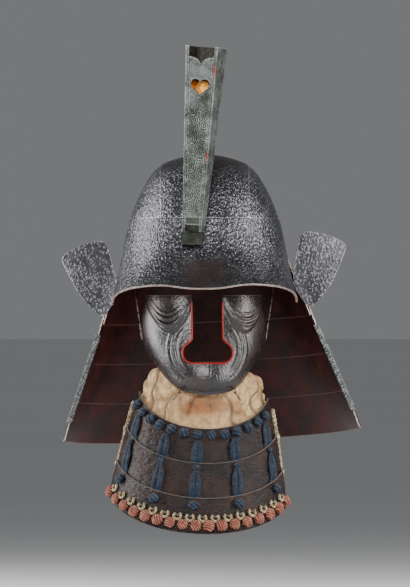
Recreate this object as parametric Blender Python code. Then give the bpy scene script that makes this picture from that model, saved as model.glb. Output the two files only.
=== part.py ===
"""Samurai helmet: lacquered iron bowl and crest, laced neck guard, half mask and throat guard.

Metres, +Z up. The front faces -Y and the wearer's left is at +X. The origin is the inner top of the
bowl, where it sits on the head.
"""

import math

import bmesh
import bpy
from mathutils import Matrix, Vector

MM = 0.001

# Clearance between pieces that touch on the real helmet
SEAT_GAP = 0.35 * MM

# How far a cut starts outside the face that it opens
CUT_PAST = 4 * MM

# Bowl
PLATE_WALL = 2.0 * MM
TOP_PLATE_RISE = 0.6 * MM
BROW_PLATE_RISE = 0.8 * MM
BOWL_HALF_WIDTH = 104 * MM
BOWL_FRONT_DEPTH = 110 * MM
BOWL_BACK_DEPTH = 122 * MM
BOWL_HEIGHT = 154 * MM
BOWL_SQUARENESS = 2.2
TOP_PLATE_HALF_WIDTH = 56 * MM
BROW_SEAM_DEPTH = 79 * MM
BAND_SEAM_DEPTH = 118 * MM
SIDE_PLATE_MARGIN = 0.02 * MM

# Visor
VISOR_HALF_WIDTH = 117.5 * MM
VISOR_REACH = 150 * MM
VISOR_TIP_SETBACK = 35 * MM
VISOR_CENTRE_DROP = 168 * MM
VISOR_TIP_DROP = 187 * MM
VISOR_SWEEP_POWER = 2.4
VISOR_SKEW = 2 * MM

# Crest
CREST_HEIGHT = 233.5 * MM
CREST_TOP_WIDTH = 42 * MM
CREST_FOOT_WIDTH = 24.5 * MM
CREST_TOP_DEPTH = 46 * MM
CREST_FOOT_DEPTH = 17.7 * MM
CREST_WALL = 1.4 * MM
CREST_BORDER = 4.2 * MM
CREST_PANEL_SINK = 0.8 * MM
CREST_YAW = math.radians(-15)
CREST_LEAN = math.radians(4.1)
CREST_OFFSET = -14 * MM
CREST_STANDOFF = 3 * MM
CREST_CUSP_DROP = 13 * MM
CREST_CUSP_NOTCH = 9.5 * MM
HEART_WIDTH = 24 * MM
HEART_HEIGHT = 21 * MM
HEART_FROM_TOP = 50 * MM
CORD_HOLE_RADIUS = 1.6 * MM
CORD_HOLE_FROM_TOP = 47 * MM
SOCKET_WIDTH = 27.5 * MM
SOCKET_HEIGHT = 15 * MM
SOCKET_LEDGE = 1.2 * MM
SOCKET_TOP_DEPTH = 97.5 * MM

# Neck guard
LAME_WALL = 1.8 * MM
NECK_SEAT = 0.5 * MM
NECK_TOP_DEPTH = 134 * MM
NECK_HEIGHT = 215 * MM
NECK_HALF_WIDTH = 190 * MM
NECK_BACK_DEPTH = 205 * MM
NECK_BACK_DROP = 15 * MM
NECK_FRONT_EDGE_TOP = 3 * MM
NECK_FRONT_EDGE_SLANT = 40 * MM
NECK_ROLL = math.radians(-2.6)
NECK_PIVOT_DROP = 6 * MM
NECK_FIRST_LAME_SHARE = 0.335
NECK_LAMES = 4
LAME_OVERLAP = 11 * MM
NECK_BRAID_WIDTH = 7.5 * MM
NECK_BRAID_THICKNESS = 4.2 * MM
NECK_BRAID_DROP = 0.06
NECK_BRAID_END = 0.9

# Turn-backs
TURN_BACK_WIDTH = 69 * MM
TURN_BACK_HEIGHT = 95 * MM
TURN_BACK_INSET = 20.3 * MM
TURN_BACK_RISE = 32.5 * MM
TURN_BACK_FLAT = 3 * MM
TURN_BACK_SWEEP = 0.42

# Mask
MASK_WALL = 2.0 * MM
MASK_HALF_WIDTH = 78.5 * MM
MASK_TOP_DEPTH = 176 * MM
MASK_HEIGHT = 126 * MM
MASK_REACH = 79 * MM
MASK_AXIS_Y = -40 * MM
MASK_YAW = math.radians(4.5)
MASK_OFFSET = -1.5 * MM
EYE_PAD_RISE = 6 * MM
EYE_PAD_RIDGE = 1.2 * MM
CHEEK_RIDGE = 0.9 * MM
NOSE_HALF_WIDTH = 19.7 * MM
NOSTRIL_HALF_WIDTH = 32 * MM
NOSTRIL_HALF_HEIGHT = 13.5 * MM
NOSTRIL_FLARE = 1.5 * MM
NOSE_BOTTOM_DROP = 86 * MM
PIN_WIRE = 2.2 * MM
PIN_RING = 6.5 * MM
PIN_LENGTH = 15 * MM
PIN_SPREAD = 0.4 * MM
HANGER_WIDTH = 3 * MM
HANGER_THICKNESS = 1.6 * MM
HANGER_KNOB = 3.4 * MM
HANGER_SEAT_SHARE = 0.76
HANGER_SEAT_DROP = 0.42

# Collar and throat guard
COLLAR_WALL = 2.4 * MM
COLLAR_TOP_HALF_WIDTH = 63.5 * MM
COLLAR_TOP_REACH = 57 * MM
COLLAR_TUCK = 36 * MM
COLLAR_SETBACK = 2 * MM
COLLAR_DIP = 8 * MM
COLLAR_SPAN = math.radians(96)
COLLAR_SWELL = 6 * MM
COLLAR_FOLD = 1.6 * MM
COLLAR_HEM_SHARE = 0.06
COLLAR_HEM_SPREAD = 0.98
COLLAR_FREE_SHARE = 0.8
THROAT_WALL = 1.8 * MM
THROAT_BELOW_CHIN = 43 * MM
THROAT_HEIGHT = 131 * MM
THROAT_TOP_HALF_WIDTH = 80 * MM
THROAT_BOTTOM_HALF_WIDTH = 113 * MM
THROAT_TOP_REACH = 70 * MM
THROAT_BOTTOM_REACH = 108 * MM
THROAT_AXIS_Y = -36 * MM
THROAT_CORNER_RISE = 42 * MM
THROAT_SPAN = math.radians(82)
THROAT_LAMES = 3
THROAT_OVERLAP = 7 * MM
THROAT_ROLL = math.radians(3.2)
THROAT_OFFSET = -3.5 * MM

# Lacing
LACE_WIDTH = 13 * MM
LACE_THICKNESS = 3.6 * MM
UPPER_LACE_START = 18 * MM
LOWER_LACE_START = 7.2 * MM
LACE_FOOT_MARGIN = 1.6 * MM
LACE_FOOT_SLANT = 3.9 * MM
LAST_KNOT_DROP = 10.2 * MM
KNOT_RADIUS = 6.4 * MM
HEM_KNOT_RADIUS = 6.8 * MM
HEM_LOOP_RADIUS = 4.4 * MM
KNOT_NECK_SHARE = 0.45
RIM_KNOTS = 13
HEM_KNOTS = 17
HEM_LOOPS = 16
RIM_KNOT_DROP = 8.7 * MM
HEM_KNOT_RISE = 9 * MM
HEM_LOOP_RISE = 20.8 * MM
EDGE_CORD_RADIUS = 2.8 * MM
EDGE_CORD_LIFT = 1 * MM
LACE_COLUMNS = (-0.79, -0.37, -0.03, 0.345, 0.77)

# Rows of knots: the middle of the row, the step from knot to knot and how it widens towards the ends
RIM_ROW = {"middle": -0.04, "step": 0.1385, "widening": 0.0}
HEM_ROW = {"middle": -0.005, "step": 0.1, "widening": 0.00022}

# Depths that follow from others: the turn-backs start from the neck guard's top, and the nose, the
# collar and the throat guard hang from the mask
TURN_BACK_TOP_DEPTH = NECK_TOP_DEPTH - TURN_BACK_RISE
NOSE_BOTTOM_DEPTH = MASK_TOP_DEPTH + NOSE_BOTTOM_DROP
COLLAR_TOP_DEPTH = MASK_TOP_DEPTH + MASK_HEIGHT - COLLAR_TUCK
THROAT_TOP_DEPTH = MASK_TOP_DEPTH + MASK_HEIGHT + THROAT_BELOW_CHIN

# Shares of the bowl's height and half width, from the crown down
BOWL_PROFILE = (
    {"depth": 0.0, "width": 0.0},
    {"depth": 0.02, "width": 0.25},
    {"depth": 0.092, "width": 0.54},
    {"depth": 0.309, "width": 0.775},
    {"depth": 0.553, "width": 0.915},
    {"depth": 0.803, "width": 0.98},
    {"depth": 1.0, "width": 1.0},
    {"depth": 1.3, "width": 1.01},
)

# The rim of the visor: share of the drop from centre to tip, at shares of the way to the tip
VISOR_RIM = (
    {"along": 0.0, "drop": 0.0},
    {"along": 0.1, "drop": -0.02},
    {"along": 0.3, "drop": -0.25},
    {"along": 0.55, "drop": -0.12},
    {"along": 0.75, "drop": 0.2},
    {"along": 0.9, "drop": 0.58},
    {"along": 1.0, "drop": 1.0},
)

# A turn-back from its foot up: shares of its height, and of its width inside and outside
TURN_BACK_OUTLINE = (
    {"height": 0.0, "inside": 0.26, "outside": 0.33},
    {"height": 0.05, "inside": 0.19, "outside": 0.41},
    {"height": 0.12, "inside": 0.13, "outside": 0.505},
    {"height": 0.28, "inside": 0.01, "outside": 0.675},
    {"height": 0.45, "inside": 0.01, "outside": 0.80},
    {"height": 0.62, "inside": 0.05, "outside": 0.91},
    {"height": 0.75, "inside": 0.08, "outside": 0.98},
    {"height": 0.81, "inside": 0.10, "outside": 0.98},
    {"height": 0.87, "inside": 0.12, "outside": 0.88},
    {"height": 0.94, "inside": 0.15, "outside": 0.68},
    {"height": 0.98, "inside": 0.19, "outside": 0.50},
    {"height": 1.0, "inside": 0.24, "outside": 0.37},
)

# The mask from its top edge down: shares of its height, half width, reach, and span of its sides
MASK_SECTIONS = (
    {"depth": 0.0, "width": 0.93, "reach": 0.76, "span": 1.0},
    {"depth": 0.28, "width": 1.0, "reach": 0.83, "span": 1.0},
    {"depth": 0.47, "width": 0.975, "reach": 0.91, "span": 0.98},
    {"depth": 0.62, "width": 0.90, "reach": 0.965, "span": 0.93},
    {"depth": 0.74, "width": 0.79, "reach": 1.0, "span": 0.86},
    {"depth": 0.87, "width": 0.65, "reach": 0.99, "span": 0.74},
    {"depth": 0.95, "width": 0.545, "reach": 0.94, "span": 0.62},
    {"depth": 1.0, "width": 0.45, "reach": 0.88, "span": 0.54},
)
MASK_SPAN = math.radians(86)


def blend(a, b, share):
    return a + (b - a) * share


def along(rows, key, column, value):
    """The column's value where the key column has this value, on a smooth curve through the rows."""
    last = len(rows) - 1
    value = min(max(value, rows[0][key]), rows[last][key])
    row = 0
    while row < last - 1 and value > rows[row + 1][key]:
        row += 1

    def slope(index):
        low, high = max(index - 1, 0), min(index + 1, last)
        return (rows[high][column] - rows[low][column]) / (rows[high][key] - rows[low][key])

    start, end = rows[row], rows[row + 1]
    span = end[key] - start[key]
    t = (value - start[key]) / span
    return (
        (2 * t**3 - 3 * t**2 + 1) * start[column]
        + (t**3 - 2 * t**2 + t) * span * slope(row)
        + (3 * t**2 - 2 * t**3) * end[column]
        + (t**3 - t**2) * span * slope(row + 1)
    )


def ring(azimuth, half_width, front, back):
    """A point of a rounded-square ring: azimuth 0 is the front, a right angle the wearer's left."""
    x, y = math.sin(azimuth), -math.cos(azimuth)
    depth = front if y < 0 else back
    total = abs(x / half_width) ** BOWL_SQUARENESS + abs(y / depth) ** BOWL_SQUARENESS
    radius = total ** (-1 / BOWL_SQUARENESS)
    return Vector((x * radius, y * radius, 0))


def turned(point, axis, angle, pivot):
    return Matrix.Rotation(angle, 4, axis) @ (point - pivot) + pivot


# Materials


def material(name, colour, roughness, metallic=0.0):
    made = bpy.data.materials.new(name)
    made.use_nodes = True
    shader = made.node_tree.nodes["Principled BSDF"]
    shader.inputs["Base Color"].default_value = (*colour, 1)
    shader.inputs["Roughness"].default_value = roughness
    shader.inputs["Metallic"].default_value = metallic
    return made


def make_materials():
    return {
        "black": material("black_lacquer", (0.035, 0.035, 0.04), 0.42, 0.6),
        "brown": material("brown_lacquer", (0.05, 0.03, 0.022), 0.4, 0.2),
        "copper": material("patinated_copper", (0.16, 0.2, 0.17), 0.5, 0.7),
        "leather": material("buff_leather", (0.72, 0.55, 0.38), 0.8),
        "blue": material("blue_silk", (0.05, 0.09, 0.17), 0.85),
        "cream": material("cream_silk", (0.7, 0.58, 0.35), 0.8),
        "salmon": material("salmon_silk", (0.55, 0.22, 0.16), 0.8),
    }


# Meshes


def finish_object(name, mesh, shade, smooth_below=math.radians(50)):
    mesh.shade_smooth()
    mesh.set_sharp_from_angle(angle=smooth_below)
    made = bpy.data.objects.new(name, mesh)
    bpy.context.scene.collection.objects.link(made)
    made.data.materials.append(shade)
    return made


def mesh_from(name, points, faces):
    """A mesh of these faces, turned so that they point outwards."""
    mesh = bpy.data.meshes.new(name)
    mesh.from_pydata([tuple(p) for p in points], [], faces)
    work = bmesh.new()
    work.from_mesh(mesh)
    bmesh.ops.recalc_face_normals(work, faces=work.faces)
    work.to_mesh(mesh)
    work.free()
    return mesh


def surface_normal(surface, u, v, inside):
    """The surface's normal at (u, v), on the side away from the point inside."""
    step = 0.004
    across = surface(min(u + step, 1), v) - surface(max(u - step, 0), v)
    down = surface(u, min(v + step, 1)) - surface(u, max(v - step, 0))
    normal = across.cross(down).normalized()
    return normal if normal.dot(surface(u, v) - inside) > 0 else -normal


def plate(name, surface, steps, wall, shade, inside, rise=0.0, place=None):
    """A curved plate: surface(u, v) is its seat, rise lifts its outer face and the wall goes inwards.

    steps is the number of faces along u and v, and inside is a point on the hollow side.
    """
    across, down = steps
    outer, inner = [], []
    for i in range(across + 1):
        for j in range(down + 1):
            u, v = i / across, j / down
            normal = surface_normal(surface, u, v, inside)
            lift = rise(u, v) if callable(rise) else rise
            outer.append(surface(u, v) + normal * lift)
            inner.append(surface(u, v) + normal * (lift - wall))
    if place:
        outer = [place(p) for p in outer]
        inner = [place(p) for p in inner]
    count = len(outer)

    def at(i, j):
        return i * (down + 1) + j

    faces = []
    for i in range(across):
        for j in range(down):
            face = (at(i, j), at(i + 1, j), at(i + 1, j + 1), at(i, j + 1))
            faces.append(face)
            faces.append(tuple(index + count for index in reversed(face)))
    border = [(at(i, 0), at(i + 1, 0)) for i in range(across)]
    border += [(at(across, j), at(across, j + 1)) for j in range(down)]
    border += [(at(i + 1, down), at(i, down)) for i in reversed(range(across))]
    border += [(at(0, j + 1), at(0, j)) for j in reversed(range(down))]
    faces += [(a, b, b + count, a + count) for a, b in border]
    return finish_object(name, mesh_from(name, outer + inner, faces), shade)


def strand(name, stations, sides, shade):
    """A solid cord through stations, each a centre, a side and an out vector as long as its half sizes."""
    points, faces = [], []
    for centre, side, out in stations:
        for k in range(sides):
            turn = math.tau * (k + 0.5) / sides
            points.append(centre + side * math.cos(turn) + out * math.sin(turn))
    for i in range(len(stations) - 1):
        for k in range(sides):
            a, b = i * sides + k, i * sides + (k + 1) % sides
            faces.append((a, b, b + sides, a + sides))
    faces.append(tuple(range(sides)))
    faces.append(tuple(range(len(points) - sides, len(points))))
    return finish_object(name, mesh_from(name, points, faces), shade, math.radians(75))


def wire_stations(points, radius, out):
    """Stations of a round wire along the points."""
    stations = []
    for index, point in enumerate(points):
        before, after = points[max(index - 1, 0)], points[min(index + 1, len(points) - 1)]
        heading = (after - before).normalized()
        side = heading.cross(out).normalized()
        stations.append((point, side * radius, side.cross(heading) * radius))
    return stations


def cut(target, cutter_name, points, faces):
    """Cut the target with a closed solid."""
    cutter = bpy.data.objects.new(cutter_name, mesh_from(cutter_name, points, faces))
    bpy.context.scene.collection.objects.link(cutter)
    cutter.hide_render = True
    cutter.display_type = "WIRE"
    modifier = target.modifiers.new(cutter_name, "BOOLEAN")
    modifier.operation = "DIFFERENCE"
    modifier.object = cutter
    return cutter


def prism(outline, back, front, place):
    """Points and faces of a solid with an outline of (x, z) pairs between two depths along y."""
    count = len(outline)
    points = [place(Vector((x, back, z))) for x, z in outline]
    points += [place(Vector((x, front, z))) for x, z in outline]
    faces = [tuple(range(count)), tuple(range(count, 2 * count))]
    faces += [(k, (k + 1) % count, (k + 1) % count + count, k + count) for k in range(count)]
    return points, faces


# Bowl. Its outer face, without the plates' own rise, is one smooth dome.


def bowl_share(height):
    """Share of the bowl's full width at this height."""
    depth = math.sqrt(max(PLATE_WALL - height, 0) / BOWL_HEIGHT)
    rows = [{"depth": math.sqrt(row["depth"]), "width": row["width"]} for row in BOWL_PROFILE]
    return along(rows, "depth", "width", depth)


def bowl_point(azimuth, height):
    share = max(bowl_share(height), 1e-4)
    point = ring(azimuth, BOWL_HALF_WIDTH * share, BOWL_FRONT_DEPTH * share, BOWL_BACK_DEPTH * share)
    point.z = height
    return point


def bowl_middle():
    """A point inside the bowl, which tells the plates' outer face from their inner one."""
    return Vector((0, 0, -0.6 * BOWL_HEIGHT))


def bowl_hit(start, direction):
    """Where a ray from inside the bowl meets the dome."""
    near, far = 0.0, 2 * BOWL_BACK_DEPTH
    for _ in range(40):
        middle = (near + far) / 2
        point = start + direction * middle
        azimuth = math.atan2(point.x, -point.y)
        dome = bowl_point(azimuth, point.z)
        inside = point.z < PLATE_WALL and math.hypot(point.x, point.y) < math.hypot(dome.x, dome.y)
        near, far = (middle, far) if inside else (near, middle)
    return start + direction * near


def slice_base(v):
    """The height of the side plates' lower edge: the brow seam in front, the band's seam behind."""
    return -blend(BROW_SEAM_DEPTH, BAND_SEAM_DEPTH, max(2 * v - 1, 0))


def bowl_slice(x, v):
    """A point of the dome at this x: v runs from the brow seam over the crown to the seam at the back."""
    turn = math.pi * v
    base = slice_base(v)
    return bowl_hit(Vector((x, 0, base)), Vector((0, -math.cos(turn), math.sin(turn))))


def top_plate_surface(u, v):
    return bowl_slice(blend(-TOP_PLATE_HALF_WIDTH, TOP_PLATE_HALF_WIDTH, u), v)


def side_plate_surface(side):
    def surface(u, v):
        reach = BOWL_HALF_WIDTH * bowl_share(slice_base(v)) - SIDE_PLATE_MARGIN
        start = TOP_PLATE_HALF_WIDTH + SEAT_GAP
        return bowl_slice(side * blend(start, reach, math.sin(u * math.pi / 2)), v)

    return surface


def brow_point(s, v):
    """The brow plate's seat: s runs from the wearer's right tip to the left one, v from seam to rim."""
    drop = along(VISOR_RIM, "along", "drop", abs(s))
    rim_height = -blend(VISOR_CENTRE_DROP, VISOR_TIP_DROP, drop) + VISOR_SKEW * s
    azimuth = s * (math.pi / 2 - SEAT_GAP / BOWL_HALF_WIDTH)
    height = blend(-BROW_SEAM_DEPTH - SEAT_GAP, rim_height, v)
    reach = VISOR_REACH - VISOR_TIP_SETBACK
    rim = Vector((VISOR_HALF_WIDTH * math.sin(azimuth), -reach * math.cos(azimuth) ** 0.85, 0))
    rim.y -= VISOR_TIP_SETBACK
    base = bowl_point(azimuth, height)
    flare = v**VISOR_SWEEP_POWER
    point = base + (rim - bowl_point(azimuth, rim_height)) * flare
    return Vector((point.x, point.y, height))


def brow_depth(x, height):
    """The y of the brow plate's outer face at this x and height."""
    low, high = -0.98, 0.98
    for _ in range(40):
        s = (low + high) / 2
        drop = along(VISOR_RIM, "along", "drop", abs(s))
        rim_height = -blend(VISOR_CENTRE_DROP, VISOR_TIP_DROP, drop) + VISOR_SKEW * s
        v = (height + BROW_SEAM_DEPTH + SEAT_GAP) / (rim_height + BROW_SEAM_DEPTH + SEAT_GAP)
        point = brow_point(s, v)
        low, high = (s, high) if point.x < x else (low, s)
    return point.y - BROW_PLATE_RISE


def band_surface(u, v):
    first = math.pi / 2 + SEAT_GAP / BOWL_HALF_WIDTH
    azimuth = blend(first, math.tau - first, u)
    return bowl_point(azimuth, -blend(BAND_SEAM_DEPTH + SEAT_GAP, BOWL_HEIGHT - PLATE_WALL, v))


def make_bowl(shade):
    inside = bowl_middle()
    plate("bowl_top_plate", top_plate_surface, (6, 18), PLATE_WALL, shade, inside, TOP_PLATE_RISE)
    plate("bowl_side_right", side_plate_surface(-1), (6, 16), PLATE_WALL, shade, inside)
    plate("bowl_side_left", side_plate_surface(1), (6, 16), PLATE_WALL, shade, inside)
    plate("bowl_base_band", band_surface, (24, 2), PLATE_WALL, shade, inside)
    wall = PLATE_WALL + BROW_PLATE_RISE
    plate("brow_plate", lambda u, v: brow_point(2 * u - 1, v), (26, 8), wall, shade, inside, BROW_PLATE_RISE)


# Crest


def crest_foot():
    """The middle of the crest's foot."""
    top = -SOCKET_TOP_DEPTH
    seat = brow_depth(CREST_OFFSET, top - SOCKET_HEIGHT)
    lift = SEAT_GAP + CREST_FOOT_WIDTH / 2 * math.sin(CREST_LEAN)
    return Vector((CREST_OFFSET, seat - CREST_STANDOFF - CREST_FOOT_DEPTH / 2, top + lift))


def crest_place(point):
    """From the crest's own frame, foot at the origin, to the helmet's."""
    tilted = Matrix.Rotation(CREST_LEAN, 4, "Y") @ Matrix.Rotation(CREST_YAW, 4, "Z") @ point
    return tilted + crest_foot()


def crest_outer_ring(share):
    """The tube's outer section: the front has a sunken panel between two raised borders."""
    x = blend(CREST_FOOT_WIDTH, CREST_TOP_WIDTH, share) / 2
    y = blend(CREST_FOOT_DEPTH, CREST_TOP_DEPTH, share) / 2
    edge = x - CREST_BORDER * blend(0.7, 1.0, share)
    sunk = -y + CREST_PANEL_SINK
    bevel = 0.3 * MM
    left = ((-x, -y), (-edge - bevel, -y), (-edge, sunk))
    right = ((edge, sunk), (edge + bevel, -y), (x, -y))
    return ((x, y), (-x, y), *left, *right)


def crest_inner_ring(share):
    x = blend(CREST_FOOT_WIDTH, CREST_TOP_WIDTH, share) / 2 - CREST_WALL
    y = blend(CREST_FOOT_DEPTH, CREST_TOP_DEPTH, share) / 2 - CREST_WALL
    front = -y + CREST_PANEL_SINK
    return ((x, y), (-x, y), (-x, front), (x, front))


def heart_outline(width, height, middle):
    """A boar's-eye heart, point down, as (x, z) pairs."""
    outline = []
    for k in range(20):
        turn = math.tau * k / 20
        x = math.sin(turn) ** 3
        lobes = 13 * math.cos(turn) - 5 * math.cos(2 * turn)
        z = (lobes - 2 * math.cos(3 * turn) - math.cos(4 * turn)) / 14.4
        outline.append((x * width / 2, middle + z * height / 2))
    return outline


def cusp_outline():
    """What is cut from the front above two lobes that meet in a notch."""
    half = CREST_TOP_WIDTH / 2 - CREST_BORDER
    outline = [(-half, CREST_HEIGHT + CUT_PAST)]
    for k in range(13):
        x = blend(-1, 1, k / 12)
        lobe = math.sqrt(max(1 - (2 * abs(x) - 1.0) ** 2, 0))
        outline.append((x * half, CREST_HEIGHT - CREST_CUSP_DROP - CREST_CUSP_NOTCH * (1 - lobe)))
    outline.append((half, CREST_HEIGHT + CUT_PAST))
    return outline


def make_crest(shade):
    levels = 6
    points, faces = [], []
    outer_count = 8
    inner_count = 4
    for k in range(levels + 1):
        share = k / levels
        points += [Vector((x, y, CREST_HEIGHT * share)) for x, y in crest_outer_ring(share)]
    for k in range(levels + 1):
        share = k / levels
        floor = max(CREST_HEIGHT * share, CREST_WALL)
        points += [Vector((x, y, floor)) for x, y in crest_inner_ring(share)]
    first_inner = outer_count * (levels + 1)
    for k in range(levels):
        for i in range(outer_count):
            a, b = k * outer_count + i, k * outer_count + (i + 1) % outer_count
            faces.append((a, b, b + outer_count, a + outer_count))
        for i in range(inner_count):
            a = first_inner + k * inner_count + i
            b = first_inner + k * inner_count + (i + 1) % inner_count
            faces.append((b, a, a + inner_count, b + inner_count))
    faces.append(tuple(range(outer_count)))
    faces.append(tuple(range(first_inner, first_inner + inner_count)))
    top, well = levels * outer_count, first_inner + levels * inner_count
    faces += [
        (top, top + 1, well + 1, well),
        (top + 1, top + 2, well + 2, well + 1),
        (top + 2, top + 3, top + 4, top + 5, top + 6, top + 7, well + 3, well + 2),
        (top + 7, top, well, well + 3),
    ]
    mesh = mesh_from("crest_box", [crest_place(p) for p in points], faces)
    box = finish_object("crest_box", mesh, shade, math.radians(20))
    front = -CREST_TOP_DEPTH
    heart = heart_outline(HEART_WIDTH, HEART_HEIGHT, CREST_HEIGHT - HEART_FROM_TOP)
    cut(box, "heart_cutter", *prism(heart, 0, front, crest_place))
    cut(box, "cusp_cutter", *prism(cusp_outline(), 0, front, crest_place))
    hole = []
    for depth in (0, CREST_TOP_WIDTH):
        for k in range(8):
            turn = math.tau * k / 8
            height = CREST_HEIGHT - CORD_HOLE_FROM_TOP + CORD_HOLE_RADIUS * math.sin(turn)
            hole.append(crest_place(Vector((depth, CORD_HOLE_RADIUS * math.cos(turn), height))))
    hole_faces = [tuple(range(8)), tuple(range(8, 16))]
    hole_faces += [(k, (k + 1) % 8, (k + 1) % 8 + 8, k + 8) for k in range(8)]
    cut(box, "cord_hole_cutter", hole, hole_faces)


def make_crest_socket(shade):
    """The holder between the brow plate and the crest's foot, its back shaped to the brow."""
    foot = crest_foot()
    across, up = 4, 2
    front, back = [], []
    for i in range(across + 1):
        for j in range(up + 1):
            x = blend(-SOCKET_WIDTH / 2, SOCKET_WIDTH / 2, i / across)
            z = -SOCKET_TOP_DEPTH - SOCKET_HEIGHT * (1 - j / up)
            face = Matrix.Rotation(CREST_YAW, 4, "Z") @ Vector((x, -CREST_FOOT_DEPTH / 2 - SOCKET_LEDGE, 0))
            point = Vector((foot.x + face.x, foot.y + face.y, z))
            front.append(point)
            back.append(Vector((point.x, brow_depth(point.x, z) - SEAT_GAP, z)))
    count = len(front)
    faces = []
    for i in range(across):
        for j in range(up):
            a = i * (up + 1) + j
            face = (a, a + up + 1, a + up + 2, a + 1)
            faces.append(face)
            faces.append(tuple(index + count for index in reversed(face)))
    border = [i * (up + 1) for i in range(across + 1)]
    border += [across * (up + 1) + j for j in range(1, up + 1)]
    border += [i * (up + 1) + up for i in reversed(range(across))]
    border += [j for j in reversed(range(1, up))]
    for a, b in zip(border, border[1:] + border[:1]):
        faces.append((a, b, b + count, a + count))
    finish_object("crest_socket", mesh_from("crest_socket", front + back, faces), shade)


# Neck guard


def neck_place(point):
    return turned(point, "Y", NECK_ROLL, Vector((0, 0, -NECK_TOP_DEPTH - NECK_PIVOT_DROP)))


def neck_front_edge(t):
    return NECK_FRONT_EDGE_TOP - NECK_FRONT_EDGE_SLANT * t


def neck_point(u, t):
    """The seat of all lames: u runs from the right front edge round the back to the left one."""
    top = bowl_point(math.pi / 2, -NECK_TOP_DEPTH)
    half_width = blend(top.x + NECK_SEAT, NECK_HALF_WIDTH, t)
    back = blend(BOWL_BACK_DEPTH * top.x / BOWL_HALF_WIDTH + NECK_SEAT, NECK_BACK_DEPTH, t)
    front = blend(BOWL_FRONT_DEPTH, NECK_HALF_WIDTH, t)
    first = math.atan2(half_width, -neck_front_edge(t))
    azimuth = blend(math.tau - first, first, u)
    point = ring(azimuth, half_width, front, back)
    rear = (1 - math.cos(azimuth)) / 2
    point.z = -NECK_TOP_DEPTH - NECK_HEIGHT * t - NECK_BACK_DROP * t * rear**2
    return point


def neck_shares(lame):
    """Where this lame starts and ends, as shares of the guard's height."""
    rest = (1 - NECK_FIRST_LAME_SHARE) / (NECK_LAMES - 1)
    if lame == 0:
        return 0.0, NECK_FIRST_LAME_SHARE
    return NECK_FIRST_LAME_SHARE + rest * (lame - 1), NECK_FIRST_LAME_SHARE + rest * lame


def neck_rise(lame, t):
    """Each lame stands outside the one above it."""
    start, end = neck_shares(lame)
    return (LAME_WALL + 1.5 * SEAT_GAP) * (1 - (t - start) / (end - start))


def make_neck_guard(shades):
    inside = Vector((0, 0.2 * NECK_BACK_DEPTH, -NECK_TOP_DEPTH - 0.5 * NECK_HEIGHT))
    for lame in range(NECK_LAMES):
        start, end = neck_shares(lame)
        start = max(start - LAME_OVERLAP / NECK_HEIGHT, 0)

        def surface(u, v, start=start, end=end):
            return neck_point(u, blend(start, end, v))

        def rise(u, v, start=start, end=end, lame=lame):
            return neck_rise(lame, blend(start, end, v))

        name = f"neck_lame_{lame + 1}"
        plate(name, surface, (28, 2), LAME_WALL, shades["black"], inside, rise, neck_place)
    for side, word in ((-1, "right"), (1, "left")):
        make_turn_back(side, word, shades["black"])
        make_neck_braid(side, word, shades["blue"])


def turn_back_root():
    """Where a turn-back starts, inside the lower front corner of the first lame."""
    return neck_point(1, NECK_FIRST_LAME_SHARE).x - TURN_BACK_INSET


def turn_back_surface(side):
    root = turn_back_root()

    def surface(u, v):
        inner = along(TURN_BACK_OUTLINE, "height", "inside", v)
        outer = along(TURN_BACK_OUTLINE, "height", "outside", v)
        x = root + TURN_BACK_WIDTH * blend(inner, outer, u)
        z = -TURN_BACK_TOP_DEPTH - TURN_BACK_HEIGHT * (1 - v)
        t = min(max((-NECK_TOP_DEPTH - z) / NECK_HEIGHT, 0), NECK_FIRST_LAME_SHARE)
        lame_edge = neck_point(1, t).x + LAME_WALL
        past = max(x - lame_edge - TURN_BACK_FLAT, 0)
        y = neck_front_edge(t) - 2 * SEAT_GAP + TURN_BACK_SWEEP * past**1.5 / TURN_BACK_WIDTH**0.5
        return Vector((side * x, y, z))

    return surface


def make_turn_back(side, word, shade):
    """A wing that stands in front of the first lame's end and sweeps out and back."""
    inside = Vector((side * 1.3 * turn_back_root(), NECK_BACK_DEPTH, -TURN_BACK_TOP_DEPTH))
    name = f"turn_back_{word}"
    plate(name, turn_back_surface(side), (6, 12), LAME_WALL, shade, inside, LAME_WALL, neck_place)


def make_neck_braid(side, word, shade):
    """The flat braid down the front edges of the lower lames."""
    stations = []
    count = 12
    for k in range(count + 1):
        t = blend(NECK_FIRST_LAME_SHARE + NECK_BRAID_DROP, NECK_BRAID_END, k / count)
        edge = neck_point(1, t)
        swell = 0.8 + 0.2 * math.cos(math.tau * 3 * k / count)
        forward = neck_front_edge(t) - SEAT_GAP - NECK_BRAID_THICKNESS / 2
        centre = neck_place(Vector((side * (edge.x + LAME_WALL / 2), forward, edge.z)))
        width = Vector((NECK_BRAID_WIDTH / 2 * swell, 0, 0))
        stations.append((centre, width, Vector((0, -NECK_BRAID_THICKNESS / 2, 0))))
    strand(f"neck_braid_{word}", stations, 6, shade)


# Mask


def mask_place(point):
    turned_point = turned(point, "Z", MASK_YAW, Vector((0, MASK_AXIS_Y, 0)))
    return turned_point + Vector((MASK_OFFSET, 0, 0))


def eye_pad(x, z):
    """Rise of the swollen pads under the eyes, with their stacked ridges."""
    dx = abs(x) / MASK_HALF_WIDTH - 0.59
    dz = (z + MASK_TOP_DEPTH) / MASK_HEIGHT
    level = dz - 2.25 * dx * dx
    side = max(1 - (dx / 0.35) ** 2, 0)
    foot = min(max((level + 0.40) / 0.09, 0), 1)
    foot = foot * foot * (3 - 2 * foot)
    ridges = 0.5 + 0.5 * math.cos(math.tau * (level + 0.355) / 0.058)
    ridged = EYE_PAD_RIDGE * ridges if -0.40 < level < -0.18 else 0
    return side**0.7 * foot * EYE_PAD_RISE + side * foot * ridged


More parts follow.
